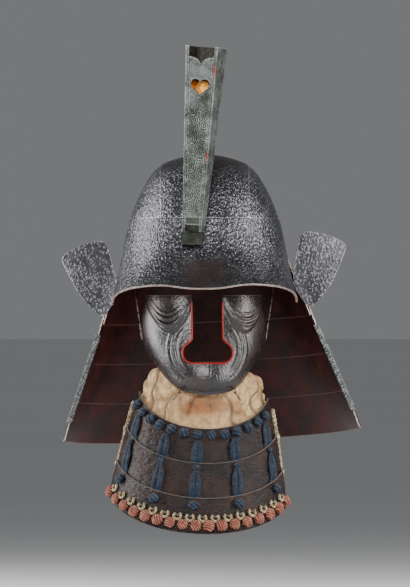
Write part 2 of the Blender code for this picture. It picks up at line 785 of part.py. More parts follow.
def cheek_ridges(x, z):
    """Rise of the curved folds beside the nose opening."""
    radius = math.hypot(abs(x), z + NOSE_BOTTOM_DEPTH - 1.4 * NOSTRIL_HALF_HEIGHT) / NOSTRIL_HALF_WIDTH
    if not 1.15 < radius < 1.62:
        return 0.0
    side = max(abs(x) / NOSTRIL_HALF_WIDTH - 0.75, 0)
    return CHEEK_RIDGE * min(side * 2.5, 1) * (0.5 - 0.5 * math.cos(math.tau * (radius - 1.15) / 0.157))


def mask_surface(u, v):
    """The mask's outer face before its yaw: u runs from its right side to its left, v down."""
    s = 2 * u - 1
    width = along(MASK_SECTIONS, "depth", "width", v) * MASK_HALF_WIDTH
    reach = along(MASK_SECTIONS, "depth", "reach", v) * MASK_REACH
    span = along(MASK_SECTIONS, "depth", "span", v) * MASK_SPAN
    turn = s * span
    x = width * math.sin(turn) / math.sin(span)
    y = MASK_AXIS_Y - reach * math.cos(turn) ** 0.9
    z = -MASK_TOP_DEPTH - MASK_HEIGHT * v * (1 - 0.06 * s * s * v)
    out = Vector((math.sin(turn), -math.cos(turn), 0))
    return Vector((x, y, z)) + out * (eye_pad(x, z) + cheek_ridges(x, z))


def nose_outline():
    """The opening: a slot, open at the top, that swells into the nostrils."""
    top = -MASK_TOP_DEPTH + CUT_PAST
    middle = -NOSE_BOTTOM_DEPTH + NOSTRIL_HALF_HEIGHT
    right = [(NOSE_HALF_WIDTH, top), (NOSE_HALF_WIDTH, middle + 1.6 * NOSTRIL_HALF_HEIGHT)]
    right.append((NOSE_HALF_WIDTH + NOSTRIL_FLARE, middle + 1.15 * NOSTRIL_HALF_HEIGHT))
    for k in range(8):
        turn = math.radians(blend(58, -90, k / 7))
        x = NOSTRIL_HALF_WIDTH - NOSTRIL_HALF_HEIGHT * (1 - math.cos(turn))
        right.append((x, middle + NOSTRIL_HALF_HEIGHT * math.sin(turn)))
    return right + [(-x, z) for x, z in reversed(right)]


def mask_middle():
    """A point behind the mask, which tells its outer face from its inner one."""
    return Vector((0, MASK_AXIS_Y, -MASK_TOP_DEPTH - 0.4 * MASK_HEIGHT))


def make_mask(shade):
    mask = plate("mask", mask_surface, (28, 18), MASK_WALL, shade, mask_middle(), 0.0, mask_place)
    cut(mask, "nose_cutter", *prism(nose_outline(), MASK_AXIS_Y, -3 * MASK_REACH, mask_place))


def mask_at(u, v, lift):
    """A point above the mask's outer face, and the way out there."""
    normal = surface_normal(mask_surface, u, v, mask_middle())
    point = mask_place(mask_surface(u, v) + normal * lift)
    return point, turned(normal, "Z", MASK_YAW, Vector((0, 0, 0)))


def make_cord_pin(side, word, shade):
    """An eye of wire on the jaw, drawn out into a pin that points down and outwards."""
    foot, out = mask_at(0.5 + side * 0.34, 0.955, SEAT_GAP + PIN_WIRE / 2)
    centre = foot + out * PIN_RING / 2
    down = (Vector((side * 0.62, -0.2, -0.78))).normalized()
    up = (-down + out * down.dot(out)).normalized()
    path = []
    turns = 9
    for k in range(turns + 1):
        turn = math.radians(blend(200, -95, k / turns))
        path.append(centre + (out * math.cos(turn) + up * math.sin(turn)) * PIN_RING / 2)
    for k in range(1, 4):
        path.append(path[turns] + down * PIN_LENGTH * k / 3 + out * PIN_SPREAD)
    strand(f"cord_pin_{word}", wire_stations(path, PIN_WIRE / 2, out.cross(up)), 6, shade)


def make_mask_hanger(side, word, shade):
    """The strip that ties the mask's side to the inside of the bowl, ending in a knob."""
    foot, foot_out = mask_at(0.5 + side * 0.49, 0.46, SEAT_GAP + HANGER_KNOB / 2)
    u = 0.5 + side * HANGER_SEAT_SHARE / 2
    head_out = surface_normal(lambda a, b: brow_point(2 * a - 1, b), u, HANGER_SEAT_DROP, bowl_middle())
    depth = PLATE_WALL + SEAT_GAP + HANGER_THICKNESS / 2
    head = brow_point(2 * u - 1, HANGER_SEAT_DROP) - head_out * depth
    stations = []
    steps = 10
    for k in range(steps + 1):
        share = k / steps
        out = foot_out.lerp(head_out, share).normalized()
        across = out.cross((head - foot).normalized())
        swell = max(1 - abs(share - 0.05) / 0.09, 0) * HANGER_KNOB
        width = HANGER_WIDTH / 2 + swell * 0.5
        thickness = HANGER_THICKNESS / 2 + swell * 0.4
        stations.append((foot.lerp(head, share), across * width, out * thickness))
    strand(f"mask_hanger_{word}", stations, 6, shade)


# Collar and throat guard


def throat_place(point):
    pivot = Vector((0, THROAT_AXIS_Y, -THROAT_TOP_DEPTH))
    return turned(point, "Y", THROAT_ROLL, pivot) + Vector((THROAT_OFFSET, 0, 0))


def collar_surface(u, v):
    """From a rim inside the mask's jaw down to the inner face of the first throat lame."""
    s = 2 * u - 1
    turn = s * COLLAR_SPAN
    head = Vector((
        COLLAR_TOP_HALF_WIDTH * math.sin(turn),
        THROAT_AXIS_Y + COLLAR_SETBACK - COLLAR_TOP_REACH * math.cos(turn),
        -COLLAR_TOP_DEPTH - COLLAR_DIP * (1 - math.cos(turn)),
    ))
    hem = throat_inside(COLLAR_HEM_SPREAD * s, COLLAR_HEM_SHARE)
    folds = math.sin(9 * turn + 5 * v) + 0.6 * math.sin(17 * turn - 9 * v)
    free = min(v / COLLAR_FREE_SHARE, 1)
    crumple = COLLAR_FOLD * (1 - free) * folds * math.sin(turn) ** 2
    swell = COLLAR_SWELL * math.sin(math.pi * free**0.7) + crumple
    point = head.lerp(hem, v) + Vector((math.sin(turn), 0, 0)) * swell
    point.y = blend(head.y, hem.y, v**1.5)
    return point


def make_collar(shade):
    inside = Vector((0, THROAT_AXIS_Y, (-COLLAR_TOP_DEPTH - THROAT_TOP_DEPTH) / 2))
    plate("collar", collar_surface, (30, 5), COLLAR_WALL, shade, inside, 0.0, throat_place)


def throat_point(s, t):
    """The seat of the throat lames: s runs from right to left, t from the rim to the hem."""
    turn = s * THROAT_SPAN
    width = blend(THROAT_TOP_HALF_WIDTH, THROAT_BOTTOM_HALF_WIDTH, t**0.85)
    reach = blend(THROAT_TOP_REACH, THROAT_BOTTOM_REACH, t)
    front = 1 - math.cos(turn)
    x = width * math.sin(turn) / math.sin(THROAT_SPAN)
    y = THROAT_AXIS_Y - reach * math.cos(turn)
    z = -THROAT_TOP_DEPTH - THROAT_HEIGHT * t + THROAT_CORNER_RISE * front / (1 - math.cos(THROAT_SPAN))
    return Vector((x, y, z))


def throat_middle():
    """A point inside the guard, which tells the lames' outer face from their inner one."""
    return Vector((0, THROAT_AXIS_Y, -THROAT_TOP_DEPTH - 0.5 * THROAT_HEIGHT))


def throat_normal(s, t):
    return surface_normal(lambda u, v: throat_point(2 * u - 1, v), (s + 1) / 2, t, throat_middle())


def throat_rise(lame, t):
    """Each lame stands outside the one above it."""
    return (THROAT_WALL + SEAT_GAP) * (1 - (t * THROAT_LAMES - lame))


def throat_inside(s, t):
    """A point just inside the first lame's inner face."""
    return throat_point(s, t) + throat_normal(s, t) * (throat_rise(0, t) - THROAT_WALL - 2.4 * SEAT_GAP)


def throat_at(s, t, lame, lift):
    """A point above this lame's outer face, with its side and out directions."""
    normal = throat_normal(s, t)
    point = throat_place(throat_point(s, t) + normal * (throat_rise(lame, t) + lift))
    out = turned(normal, "Y", THROAT_ROLL, Vector((0, 0, 0)))
    side = Vector((0, 0, 1)).cross(out).normalized()
    return point, side, out


def make_throat_lames(shade):
    for lame in range(THROAT_LAMES):
        start = lame / THROAT_LAMES
        end = min((lame + 1) / THROAT_LAMES + THROAT_OVERLAP / THROAT_HEIGHT, 1)

        def surface(u, v, start=start, end=end):
            return throat_point(2 * u - 1, blend(start, end, v))

        def rise(u, v, start=start, end=end, lame=lame):
            return throat_rise(lame, blend(start, end, v))

        name = f"throat_lame_{lame + 1}"
        plate(name, surface, (20, 2), THROAT_WALL, shade, throat_middle(), rise, throat_place)


def knot_row(name, count, row, radius, lame, t, shade, sides=6):
    """Knots that touch, as one beaded cord along a lame."""
    stations = []
    for k in range(count * 3 + 1):
        place = k / 3 - count / 2
        s = row["middle"] + row["step"] * place + row["widening"] * place**3
        size = radius * (KNOT_NECK_SHARE if k % 3 == 0 else 1)
        centre, _, out = throat_at(s, t, lame, SEAT_GAP + radius * 0.62)
        ahead, _, _ = throat_at(s + 0.01, t, lame, SEAT_GAP + radius * 0.62)
        heading = (ahead - centre).normalized()
        stations.append((centre, out * size * 0.6, out.cross(heading) * size))
    return strand(name, stations, sides, shade)


def lace(name, s, lame, knot, shade):
    """A pair of flat laces down a lame, a spindle in outline, under a knot where there is one."""
    start = lame / THROAT_LAMES
    end = (lame + 1) / THROAT_LAMES
    top = start + (LOWER_LACE_START if knot else UPPER_LACE_START) / THROAT_HEIGHT
    foot = end - (LACE_FOOT_MARGIN + LACE_FOOT_SLANT * s * s) / THROAT_HEIGHT
    shape = [(0.0, 0.55), (0.09, 1.15), (0.17, 1.1), (0.24, 0.5)] if knot else [(0.0, 0.4)]
    shape += [(0.36, 0.8), (0.6, 1.0), (0.85, 0.85), (1.0, 0.7)]
    stations = []
    for down, wide in shape:
        t = blend(top, foot, down)
        thick = LACE_THICKNESS * (1.5 if knot and down < 0.2 else 1.0) / 2
        centre, side, out = throat_at(s, t, lame, SEAT_GAP + thick)
        stations.append((centre, side * wide * LACE_WIDTH / 2, out * thick))
    strand(name, stations, 6, shade)


def last_knot(name, s, shade):
    stations = []
    for share in (-0.9, -0.4, 0.4, 0.9):
        t = (THROAT_LAMES - 1) / THROAT_LAMES + (LAST_KNOT_DROP + share * KNOT_RADIUS) / THROAT_HEIGHT
        size = KNOT_RADIUS * math.sqrt(1 - share * share) * 1.05
        centre, side, out = throat_at(s, t, THROAT_LAMES - 1, KNOT_RADIUS * 0.57)
        stations.append((centre, side * size, out * size * 0.58))
    strand(name, stations, 8, shade)


def make_lacing(shades):
    for index, s in enumerate(LACE_COLUMNS):
        lace(f"upper_lace_{index + 1}", s, 0, False, shades["blue"])
        lace(f"lower_lace_{index + 1}", s, 1, True, shades["blue"])
        last_knot(f"last_knot_{index + 1}", s, shades["blue"])
    rim = RIM_KNOT_DROP / THROAT_HEIGHT
    low = 1 - HEM_KNOT_RISE / THROAT_HEIGHT
    high = 1 - HEM_LOOP_RISE / THROAT_HEIGHT
    last = THROAT_LAMES - 1
    knot_row("rim_knots", RIM_KNOTS, RIM_ROW, KNOT_RADIUS, 0, rim, shades["blue"])
    knot_row("hem_knots", HEM_KNOTS, HEM_ROW, HEM_KNOT_RADIUS, last, low, shades["salmon"])
    knot_row("hem_loops", HEM_LOOPS, HEM_ROW, HEM_LOOP_RADIUS, last, high, shades["cream"], 5)


def make_edge_cord(side, word, shade):
    """The twisted cord down the ends of the throat lames."""
    path = []
    steps = 16
    for k in range(steps + 1):
        t = blend(0.1, 0.8, k / steps)
        corner, across, out = throat_at(side, t, 0, 0)
        beside = EDGE_CORD_RADIUS * 0.93 + SEAT_GAP
        path.append(corner + across * side * beside + out * EDGE_CORD_LIFT)
    strand(f"edge_cord_{word}", wire_stations(path, EDGE_CORD_RADIUS, Vector((1, 0, 0))), 6, shade)


def main():
    for old in list(bpy.data.objects):
        bpy.data.objects.remove(old)
    shades = make_materials()
    make_bowl(shades["black"])
    make_crest(shades["copper"])
    make_crest_socket(shades["copper"])
    make_neck_guard(shades)
    make_mask(shades["brown"])
    for side, word in ((-1, "right"), (1, "left")):
        make_cord_pin(side, word, shades["black"])
        make_mask_hanger(side, word, shades["black"])
        make_edge_cord(side, word, shades["cream"])
    make_collar(shades["leather"])
    make_throat_lames(shades["brown"])
    make_lacing(shades)


main()
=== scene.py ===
# %% [markdown]
# # A samurai helmet with its face mask and throat guard
# The real thing is a set of armour pieces: an iron bowl of a few lacquered plates, a tall metal crest in a
# holder on the brow, four lacquered lames that guard the neck, an iron half mask, and a laced throat guard.
# Each piece was already built at its real size as a plain solid, and that frame is loaded first. This lesson
# gives every piece its fine surface: it repeats the curves that the solids follow, with many more faces, and
# makes each finish from nodes, with no image anywhere.

# %% Load the frame
import math

import bmesh
import bpy
from mathutils import Matrix, Vector
from mathutils import noise as grain


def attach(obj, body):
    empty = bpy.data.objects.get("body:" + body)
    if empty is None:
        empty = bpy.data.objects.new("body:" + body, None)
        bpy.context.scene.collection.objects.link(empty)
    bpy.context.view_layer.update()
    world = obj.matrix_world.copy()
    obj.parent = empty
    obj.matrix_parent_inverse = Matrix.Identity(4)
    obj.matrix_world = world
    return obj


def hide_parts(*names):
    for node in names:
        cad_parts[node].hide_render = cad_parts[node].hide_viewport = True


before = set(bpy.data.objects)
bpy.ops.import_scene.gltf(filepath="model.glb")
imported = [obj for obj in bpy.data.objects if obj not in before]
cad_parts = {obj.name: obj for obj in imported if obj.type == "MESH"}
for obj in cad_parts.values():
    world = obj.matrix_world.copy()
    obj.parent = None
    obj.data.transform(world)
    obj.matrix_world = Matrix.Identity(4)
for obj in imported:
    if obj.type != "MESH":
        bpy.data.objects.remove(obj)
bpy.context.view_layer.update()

# %% [markdown]
# ## Camera
# The photograph was taken with a long lens, level with the visor, straight from the front. A long lens far
# away keeps the near and far pieces at almost one scale. The frame's height at the helmet is known from the
# bowl's real width, and the lens follows from it: Blender fits the sensor to the picture's longer side.

# %% Camera
MM = 0.001
CAMERA_DISTANCE = 15.0
FRAME_HEIGHT = 745.5 * MM
FRAME_MIDDLE = Vector((0.6 * MM, 0, -174 * MM))

camera_data = bpy.data.cameras.new("front_camera")
camera_data.sensor_width = 36
camera_data.lens = camera_data.sensor_width * CAMERA_DISTANCE / FRAME_HEIGHT
camera_data.clip_end = 100
camera = bpy.data.objects.new("front_camera", camera_data)
camera.location = FRAME_MIDDLE - Vector((0, CAMERA_DISTANCE, 0))
camera.rotation_euler = (math.pi / 2, 0, 0)
bpy.context.scene.collection.objects.link(camera)
bpy.context.scene.camera = camera
print("lens", round(camera_data.lens, 1), "mm")

# %% [markdown]
# ## Small helpers
# Every curved piece is a function surface(u, v) that gives a point for two shares between 0 and 1. A table
# of a few rows, read on a smooth curve, is enough for a profile. The same helpers serve all pieces.

# %% Reading curves and turning points


def blend(a, b, share):
    return a + (b - a) * share


def eased(value):
    """0 below 0, 1 above 1, and a smooth step between."""
    value = min(max(value, 0), 1)
    return value * value * (3 - 2 * value)


def along(rows, key, column, value):
    """The column's value where the key column has this value, on a smooth curve through the rows."""
    last = len(rows) - 1
    value = min(max(value, rows[0][key]), rows[last][key])
    row = 0
    while row < last - 1 and value > rows[row + 1][key]:
        row += 1

    def slope(index):
        low, high = max(index - 1, 0), min(index + 1, last)
        return (rows[high][column] - rows[low][column]) / (rows[high][key] - rows[low][key])

    start, end = rows[row], rows[row + 1]
    span = end[key] - start[key]
    t = (value - start[key]) / span
    return (
        (2 * t**3 - 3 * t**2 + 1) * start[column]
        + (t**3 - 2 * t**2 + t) * span * slope(row)
        + (3 * t**2 - 2 * t**3) * end[column]
        + (t**3 - t**2) * span * slope(row + 1)
    )


def turned(point, axis, angle, pivot):
    return Matrix.Rotation(angle, 4, axis) @ (point - pivot) + pivot


def smooth_path(points, steps):
    """A smooth curve through a few points, with this many steps between each two."""
    padded = [2 * points[0] - points[1], *points, 2 * points[-1] - points[-2]]
    path = []
    for a, b, c, d in zip(padded, padded[1:], padded[2:], padded[3:]):
        for k in range(steps):
            t = k / steps
            path.append(0.5 * (2 * b + (c - a) * t + (2 * a - 5 * b + 4 * c - d) * t**2
                               + (3 * b - a - 3 * c + d) * t**3))
    path.append(points[-1].copy())
    return path


# %% [markdown]
# ## Lacquer grain and wear as shader groups
# One effect is often wanted on many finishes, so each is made once as a node group with named inputs. A group
# here puts out only colours, masks and heights. The Principled shader stays in the material. The next cell
# has three short helpers that wire nodes together.

# %% Wiring nodes


def plug(tree, value, socket):
    """Link a socket to this one, or write a plain value into it."""
    if isinstance(value, bpy.types.NodeSocket):
        tree.links.new(value, socket)
    else:
        socket.default_value = value


def add_node(tree, kind, inputs=(), **settings):
    """A node with these settings, its inputs filled by name or number."""
    made = tree.nodes.new(kind)
    for name, value in settings.items():
        setattr(made, name, value)
    for name, value in dict(inputs).items():
        plug(tree, value, made.inputs[name])
    return made


def maths(tree, operation, *values, clamp=False):
    made = add_node(tree, "ShaderNodeMath", enumerate(values), operation=operation, use_clamp=clamp)
    return made.outputs[0]


def mixed(tree, share, first, second):
    """Two colours mixed by a share."""
    made = add_node(tree, "ShaderNodeMix", {0: share, 6: first, 7: second}, data_type="RGBA")
    return made.outputs[2]


def stepped(tree, value, low, high):
    """0 below low, 1 above high, smooth between; low may be the larger one."""
    inputs = {"Value": value, "From Min": low, "From Max": high}
    made = add_node(tree, "ShaderNodeMapRange", inputs, interpolation_type="SMOOTHSTEP")
    return made.outputs[0]


def speckle(tree, where, scale, detail=3.0, roughness=0.55):
    """Plain noise between 0 and 1."""
    inputs = {"Vector": where, "Scale": scale, "Detail": detail, "Roughness": roughness}
    return add_node(tree, "ShaderNodeTexNoise", inputs).outputs[0]


def vector_maths(tree, operation, inputs):
    """One vector operation; the inputs are keyed by socket: 0 and 1 are vectors and 3 is a scale."""
    return add_node(tree, "ShaderNodeVectorMath", inputs, operation=operation).outputs[0]


def own_place(tree):
    """Each point's place in the helmet's frame, in metres."""
    return add_node(tree, "ShaderNodeTexCoord").outputs["Object"]


def new_group(name, inputs, outputs):
    """An empty shader group with these sockets, each a name, a kind and a starting value."""
    group = bpy.data.node_groups.new(name, "ShaderNodeTree")
    for label, kind, value in inputs:
        socket = group.interface.new_socket(label, in_out="INPUT", socket_type=kind)
        socket.default_value = value
    for label, kind in outputs:
        group.interface.new_socket(label, in_out="OUTPUT", socket_type=kind)
    entry = group.nodes.new("NodeGroupInput").outputs
    leave = group.nodes.new("NodeGroupOutput").inputs
    return group, entry, leave


def attribute(tree, name):
    """A number that the mesh stores at its points, 0 where it has none of this name."""
    return add_node(tree, "ShaderNodeAttribute", attribute_name=name).outputs["Fac"]


def placed(tree, group, inputs=()):
    """A group put in a tree with these inputs; gives its outputs."""
    made = tree.nodes.new("ShaderNodeGroup")
    made.node_tree = group
    for name, value in dict(inputs).items():
        plug(tree, value, made.inputs[name])
    return made.outputs


FLOAT, COLOUR = "NodeSocketFloat", "NodeSocketColor"

# %% [markdown]
# ### Hammered grain
# The black pieces have a pebbled lacquer, laid thick and dabbed so that it stands in small worm-like grains,
# 2 or 3 mm across and a little taller than wide. Smooth Voronoi cells on a warped and stretched place give
# such grains, and a finer noise breaks them up. The Crest output is a mask of the grains' tops, which the
# lacquer paints light grey: partly wear where rubbing has polished them, partly a painted highlight.

# %% Group: hammered grain


def make_hammered_grain():
    group, entry, leave = new_group(
        "hammered grain",
        [("Cell", FLOAT, 4.2), ("Warp", FLOAT, 0.5), ("Depth", FLOAT, 1.0)],
        [("Height", FLOAT), ("Crest", FLOAT)],
    )
    per_cell = maths(group, "DIVIDE", 1000.0, entry["Cell"])
    tall = vector_maths(group, "MULTIPLY", {0: own_place(group), 1: (1, 1, 0.62)})
    place = vector_maths(group, "SCALE", {0: tall, 3: per_cell})
    bend = add_node(group, "ShaderNodeTexNoise", {"Vector": place, "Scale": 0.9, "Detail": 2.0}).outputs[1]
    centred = vector_maths(group, "SUBTRACT", {0: bend, 1: (0.5, 0.5, 0.5)})
    scaled = {0: centred, 3: maths(group, "MULTIPLY", entry["Warp"], 3.0)}
    shift = vector_maths(group, "SCALE", scaled)
    warped = vector_maths(group, "ADD", {0: place, 1: shift})
    inputs = {"Vector": warped, "Scale": 1.0, "Smoothness": 0.35, "Randomness": 1.0}
    cells = add_node(group, "ShaderNodeTexVoronoi", inputs, feature="SMOOTH_F1").outputs["Distance"]
    dome = maths(group, "SUBTRACT", 1.0, cells, clamp=True)
    fine = maths(group, "MULTIPLY", speckle(group, place, 3.1, 2.0), 0.22)
    height = maths(group, "MULTIPLY", maths(group, "ADD", dome, fine), entry["Depth"])
    plug(group, height, leave["Height"])
    plug(group, maths(group, "MULTIPLY", stepped(group, dome, 0.5, 0.75), entry["Depth"]), leave["Crest"])
    return group


hammered_grain = make_hammered_grain()
print("made", hammered_grain.name)

# %% [markdown]
# ### Edge wear and painted highlight
# Lacquer thins and chips along the rims. Each sheet below stores how far every point lies from its nearest
# rim, in millimetres, as an attribute named rim. The group turns that into a broken line along the rims:
# wear, and on the bowl's seams and the throat lames' rims also a painted highlight.

# %% Group: edge wear and painted highlight


def make_edge_wear_and_highlight():
    group, entry, leave = new_group(
        "edge wear and highlight",
        [("Width", FLOAT, 1.5), ("Patch", FLOAT, 12.0), ("Amount", FLOAT, 0.6)],
        [("Mask", FLOAT)],
    )
    rim = attribute(group, "rim")
    per_patch = maths(group, "DIVIDE", 1000.0, entry["Patch"])
    patches = speckle(group, own_place(group), per_patch, 5.0, 0.65)
    reach = maths(group, "MULTIPLY", entry["Width"], maths(group, "MULTIPLY", patches, 2.2))
    near = stepped(group, maths(group, "DIVIDE", rim, reach), 1.0, 0.35)
    plug(group, maths(group, "MULTIPLY", near, entry["Amount"], clamp=True), leave["Mask"])
    return group


edge_wear_and_highlight = make_edge_wear_and_highlight()
print("made", edge_wear_and_highlight.name)

# %% [markdown]
# ### Mottling and dust
# No old surface has one colour. Mottling mixes a base with a second tone by two sizes of noise. Dust is a
# mask that gathers on faces that look up and in broken patches, and it dulls colour and gloss together.

# %% Groups: mottling and dust


def make_mottling():
    group, entry, leave = new_group(
        "mottling",
        [("Base", COLOUR, (0.1, 0.1, 0.1, 1)), ("Blotch", COLOUR, (0.2, 0.2, 0.2, 1)),
         ("Patch", FLOAT, 30.0), ("Amount", FLOAT, 0.5)],
        [("Color", COLOUR), ("Mask", FLOAT)],
    )
    per_patch = maths(group, "DIVIDE", 1000.0, entry["Patch"])
    broad = speckle(group, own_place(group), per_patch, 6.0, 0.6)
    fine = speckle(group, own_place(group), maths(group, "MULTIPLY", per_patch, 7.0), 3.0)
    both = maths(group, "ADD", maths(group, "MULTIPLY", broad, 0.7), maths(group, "MULTIPLY", fine, 0.3))
    mask = maths(group, "MULTIPLY", stepped(group, both, 0.38, 0.66), entry["Amount"], clamp=True)
    plug(group, mixed(group, mask, entry["Base"], entry["Blotch"]), leave["Color"])
    plug(group, mask, leave["Mask"])
    return group


def make_dust():
    group, entry, leave = new_group(
        "dust", [("Amount", FLOAT, 0.3), ("Patch", FLOAT, 25.0)], [("Mask", FLOAT)]
    )
    facing = add_node(group, "ShaderNodeNewGeometry").outputs["Normal"]
    upward = add_node(group, "ShaderNodeSeparateXYZ", {0: facing}).outputs[2]
    lying = stepped(group, upward, -0.2, 0.95)
    patches = speckle(group, own_place(group), maths(group, "DIVIDE", 1000.0, entry["Patch"]), 6.0, 0.7)
    mask = maths(group, "MULTIPLY", lying, stepped(group, patches, 0.3, 0.75))
    plug(group, maths(group, "MULTIPLY", mask, entry["Amount"], clamp=True), leave["Mask"])
    return group


mottling = make_mottling()
dust = make_dust()
print("made", mottling.name, "and", dust.name)

# %% [markdown]
# ### Braided silk
# Laces and knots are braided from silk threads. Every cord below carries a UV map whose U goes round it and
# whose V is its length in millimetres. Two sets of slanting waves make the herringbone of a flat braid, as a
# height, and the same waves paint shade into the gaps between the threads. A broken noise fades the dye in
# patches.

# %% Group: braided silk


def make_braided_silk():
    group, entry, leave = new_group(
        "braided silk",
        [("Dye", COLOUR, (0.1, 0.15, 0.3, 1)), ("Faded", COLOUR, (0.3, 0.35, 0.45, 1)),
         ("Pitch", FLOAT, 2.2), ("Slant", FLOAT, 3.0), ("Fading", FLOAT, 0.5)],
        [("Color", COLOUR), ("Height", FLOAT)],
    )
    where = add_node(group, "ShaderNodeTexCoord").outputs["UV"]
    parts = add_node(group, "ShaderNodeSeparateXYZ", {0: where}).outputs
    around = maths(group, "PINGPONG", maths(group, "MULTIPLY", parts[0], 2.0), 0.5)
    lean = maths(group, "MULTIPLY", around, entry["Slant"])
    phase = maths(group, "ADD", maths(group, "DIVIDE", parts[1], entry["Pitch"]), lean)
    wave = maths(group, "SINE", maths(group, "MULTIPLY", phase, math.tau))
    threads = maths(group, "POWER", maths(group, "ABSOLUTE", wave), 0.8)
    hair = speckle(group, own_place(group), 1400.0, 2.0)
    height = maths(group, "ADD", threads, maths(group, "MULTIPLY", hair, 0.35))
    plug(group, height, leave["Height"])
    fade = stepped(group, speckle(group, own_place(group), 190.0, 5.0, 0.7), 0.4, 0.65)
    uneven = maths(group, "ADD", fade, maths(group, "MULTIPLY", hair, 0.4))
    light = maths(group, "MULTIPLY", uneven, entry["Fading"])
    tone = mixed(group, light, entry["Dye"], entry["Faded"])
    # Painted shade: the gaps between the threads are darkened.
    shade = maths(group, "ADD", 0.04, maths(group, "MULTIPLY", threads, 1.0), clamp=True)
    dark = vector_maths(group, "SCALE", {0: tone, 3: shade})
    plug(group, dark, leave["Color"])
    return group


braided_silk = make_braided_silk()
print("made", braided_silk.name)

# %% [markdown]
# ## Materials
# A material here is a Principled shader with a few groups in front of it. The helper below makes the
# material and returns what the cells need to wire. Bump turns a height into a shading normal: its Distance is
# a real length, so the numbers can be read as tenths of a millimetre.

# %% A material to start from


def new_material(name, metallic, roughness, coat=0.0, specular=0.4):
    made = bpy.data.materials.new(name)
    made.use_nodes = True
    shader = made.node_tree.nodes["Principled BSDF"].inputs
    shader["Metallic"].default_value = metallic
    shader["Roughness"].default_value = roughness
    shader["Coat Weight"].default_value = coat
    shader["Specular IOR Level"].default_value = specular
    return made, made.node_tree, shader


def bump(tree, shader, height, distance, strength=1.0):
    inputs = {"Height": height, "Distance": distance, "Strength": strength}
    plug(tree, add_node(tree, "ShaderNodeBump", inputs).outputs[0], shader["Normal"])


# %% [markdown]
# ### Black pebbled lacquer
# In the photograph the bowl looks almost like pewter where the lamps catch it and black where they do not: a
# dark satin surface with strong, broken highlights. A dark base with a high Metallic gives that. The bowl's
# sheets also store where hands have rubbed the grain brown, and where the metal is smooth: the material reads
# these two attributes, which are 0 on every other piece.

# %% Material: black pebbled lacquer
def make_pebbled_lacquer(name, base, blotch, look):
    """look gives the grain's height, the light grey of its tops and of its rims (partly worn, partly a
    painted highlight), and the dust.
    """
    made, tree, shader = new_material(name, 0.85, 0.33)
    browned = attribute(tree, "browned")
    flat = maths(tree, "MAXIMUM", maths(tree, "MULTIPLY", browned, 0.55), attribute(tree, "smooth"))
    depth = maths(tree, "SUBTRACT", 1.0, flat)
    pebbles = placed(tree, hammered_grain, {"Cell": look["cell"], "Warp": 0.42, "Depth": depth})
    tone = placed(tree, mottling, {"Base": base, "Blotch": blotch, "Patch": 26.0, "Amount": 0.75})
    # The grains' tops are painted light grey: partly wear, partly a painted highlight.
    tops = maths(tree, "MULTIPLY", pebbles["Crest"], look["crest_wear_and_highlight"])
    crest_wear_and_painted_highlight = mixed(tree, tops, tone["Color"], (0.42, 0.42, 0.45, 1))
    brown = mixed(tree, maths(tree, "MULTIPLY", browned, 0.75), crest_wear_and_painted_highlight, (0.06, 0.038, 0.034, 1))
    # The rims are painted grey: partly wear, partly a painted highlight along the plates' seams and rims.
    rim = placed(tree, edge_wear_and_highlight, {"Width": 1.1, "Patch": 14.0, "Amount": look["wear_and_highlight"]})["Mask"]
    edged = mixed(tree, rim, brown, (0.3, 0.295, 0.3, 1))
    dulled = placed(tree, dust, {"Amount": look["dust"], "Patch": 18.0})["Mask"]
    plug(tree, mixed(tree, dulled, edged, (0.12, 0.11, 0.1, 1)), shader["Base Color"])
    gloss = maths(tree, "ADD", look["gloss"], maths(tree, "MULTIPLY", tone["Mask"], 0.1))
    gloss = maths(tree, "ADD", gloss, maths(tree, "MULTIPLY", browned, 0.12))
    plug(tree, maths(tree, "ADD", gloss, maths(tree, "MULTIPLY", dulled, 0.4)), shader["Roughness"])
    bump(tree, shader, pebbles["Height"], look["height"])
    return made


bowl_lacquer = make_pebbled_lacquer(
    "bowl lacquer", (0.045, 0.045, 0.05, 1), (0.1, 0.1, 0.108, 1),
    {"cell": 2.5, "crest_wear_and_highlight": 0.3, "wear_and_highlight": 0.55, "dust": 0.06, "gloss": 0.3, "height": 0.7 * MM},
)
wing_lacquer = make_pebbled_lacquer(
    "wing lacquer", (0.035, 0.035, 0.038, 1), (0.06, 0.06, 0.066, 1),
    {"cell": 2.8, "crest_wear_and_highlight": 0.25, "wear_and_highlight": 0.5, "dust": 0.1, "gloss": 0.42, "height": 0.5 * MM},
)
print("black lacquers ready")

# %% [markdown]
# ### Smooth lacquers
# The inside of the bowl and of the mask is red lacquer, bright where it is sheltered and rusty brown where it
# has aged. The neck lames are dark red-brown inside. The mask is nearly black with brown cheeks, and the
# throat lames are brown with a fine drawn grain. All of them are the same idea: mottled colour, a worn rim,
# some dust, and a small bump.

# %% Material: smooth lacquers


def make_smooth_lacquer(name, base, blotch, look):
    """look gives metallic, roughness, patch size, worn colour and amount, grain size and grain height."""
    plain = [look[key] for key in ("metallic", "roughness", "coat", "specular")]
    made, tree, shader = new_material(name, *plain)
    tone = placed(tree, mottling, {"Base": base, "Blotch": blotch, "Patch": look["patch"], "Amount": 0.85})
    rim = placed(tree, edge_wear_and_highlight, {"Width": look["rim"], "Patch": 8.0, "Amount": look["wear_and_highlight"]})["Mask"]
    edged = mixed(tree, rim, tone["Color"], look["worn"])
    dulled = placed(tree, dust, {"Amount": look["dust"], "Patch": 20.0})["Mask"]
    plug(tree, mixed(tree, dulled, edged, (0.12, 0.1, 0.085, 1)), shader["Base Color"])
    gloss = maths(tree, "ADD", look["roughness"] - 0.06, maths(tree, "MULTIPLY", tone["Mask"], 0.14))
    plug(tree, maths(tree, "ADD", gloss, maths(tree, "MULTIPLY", dulled, 0.4)), shader["Roughness"])
    stretch = {0: own_place(tree), 1: look["stretch"]}
    drawn = vector_maths(tree, "MULTIPLY", stretch)
    fine = speckle(tree, drawn, 1000.0 / look["grain"], 4.0, 0.6)
    bump(tree, shader, fine, look["height"])
    return made


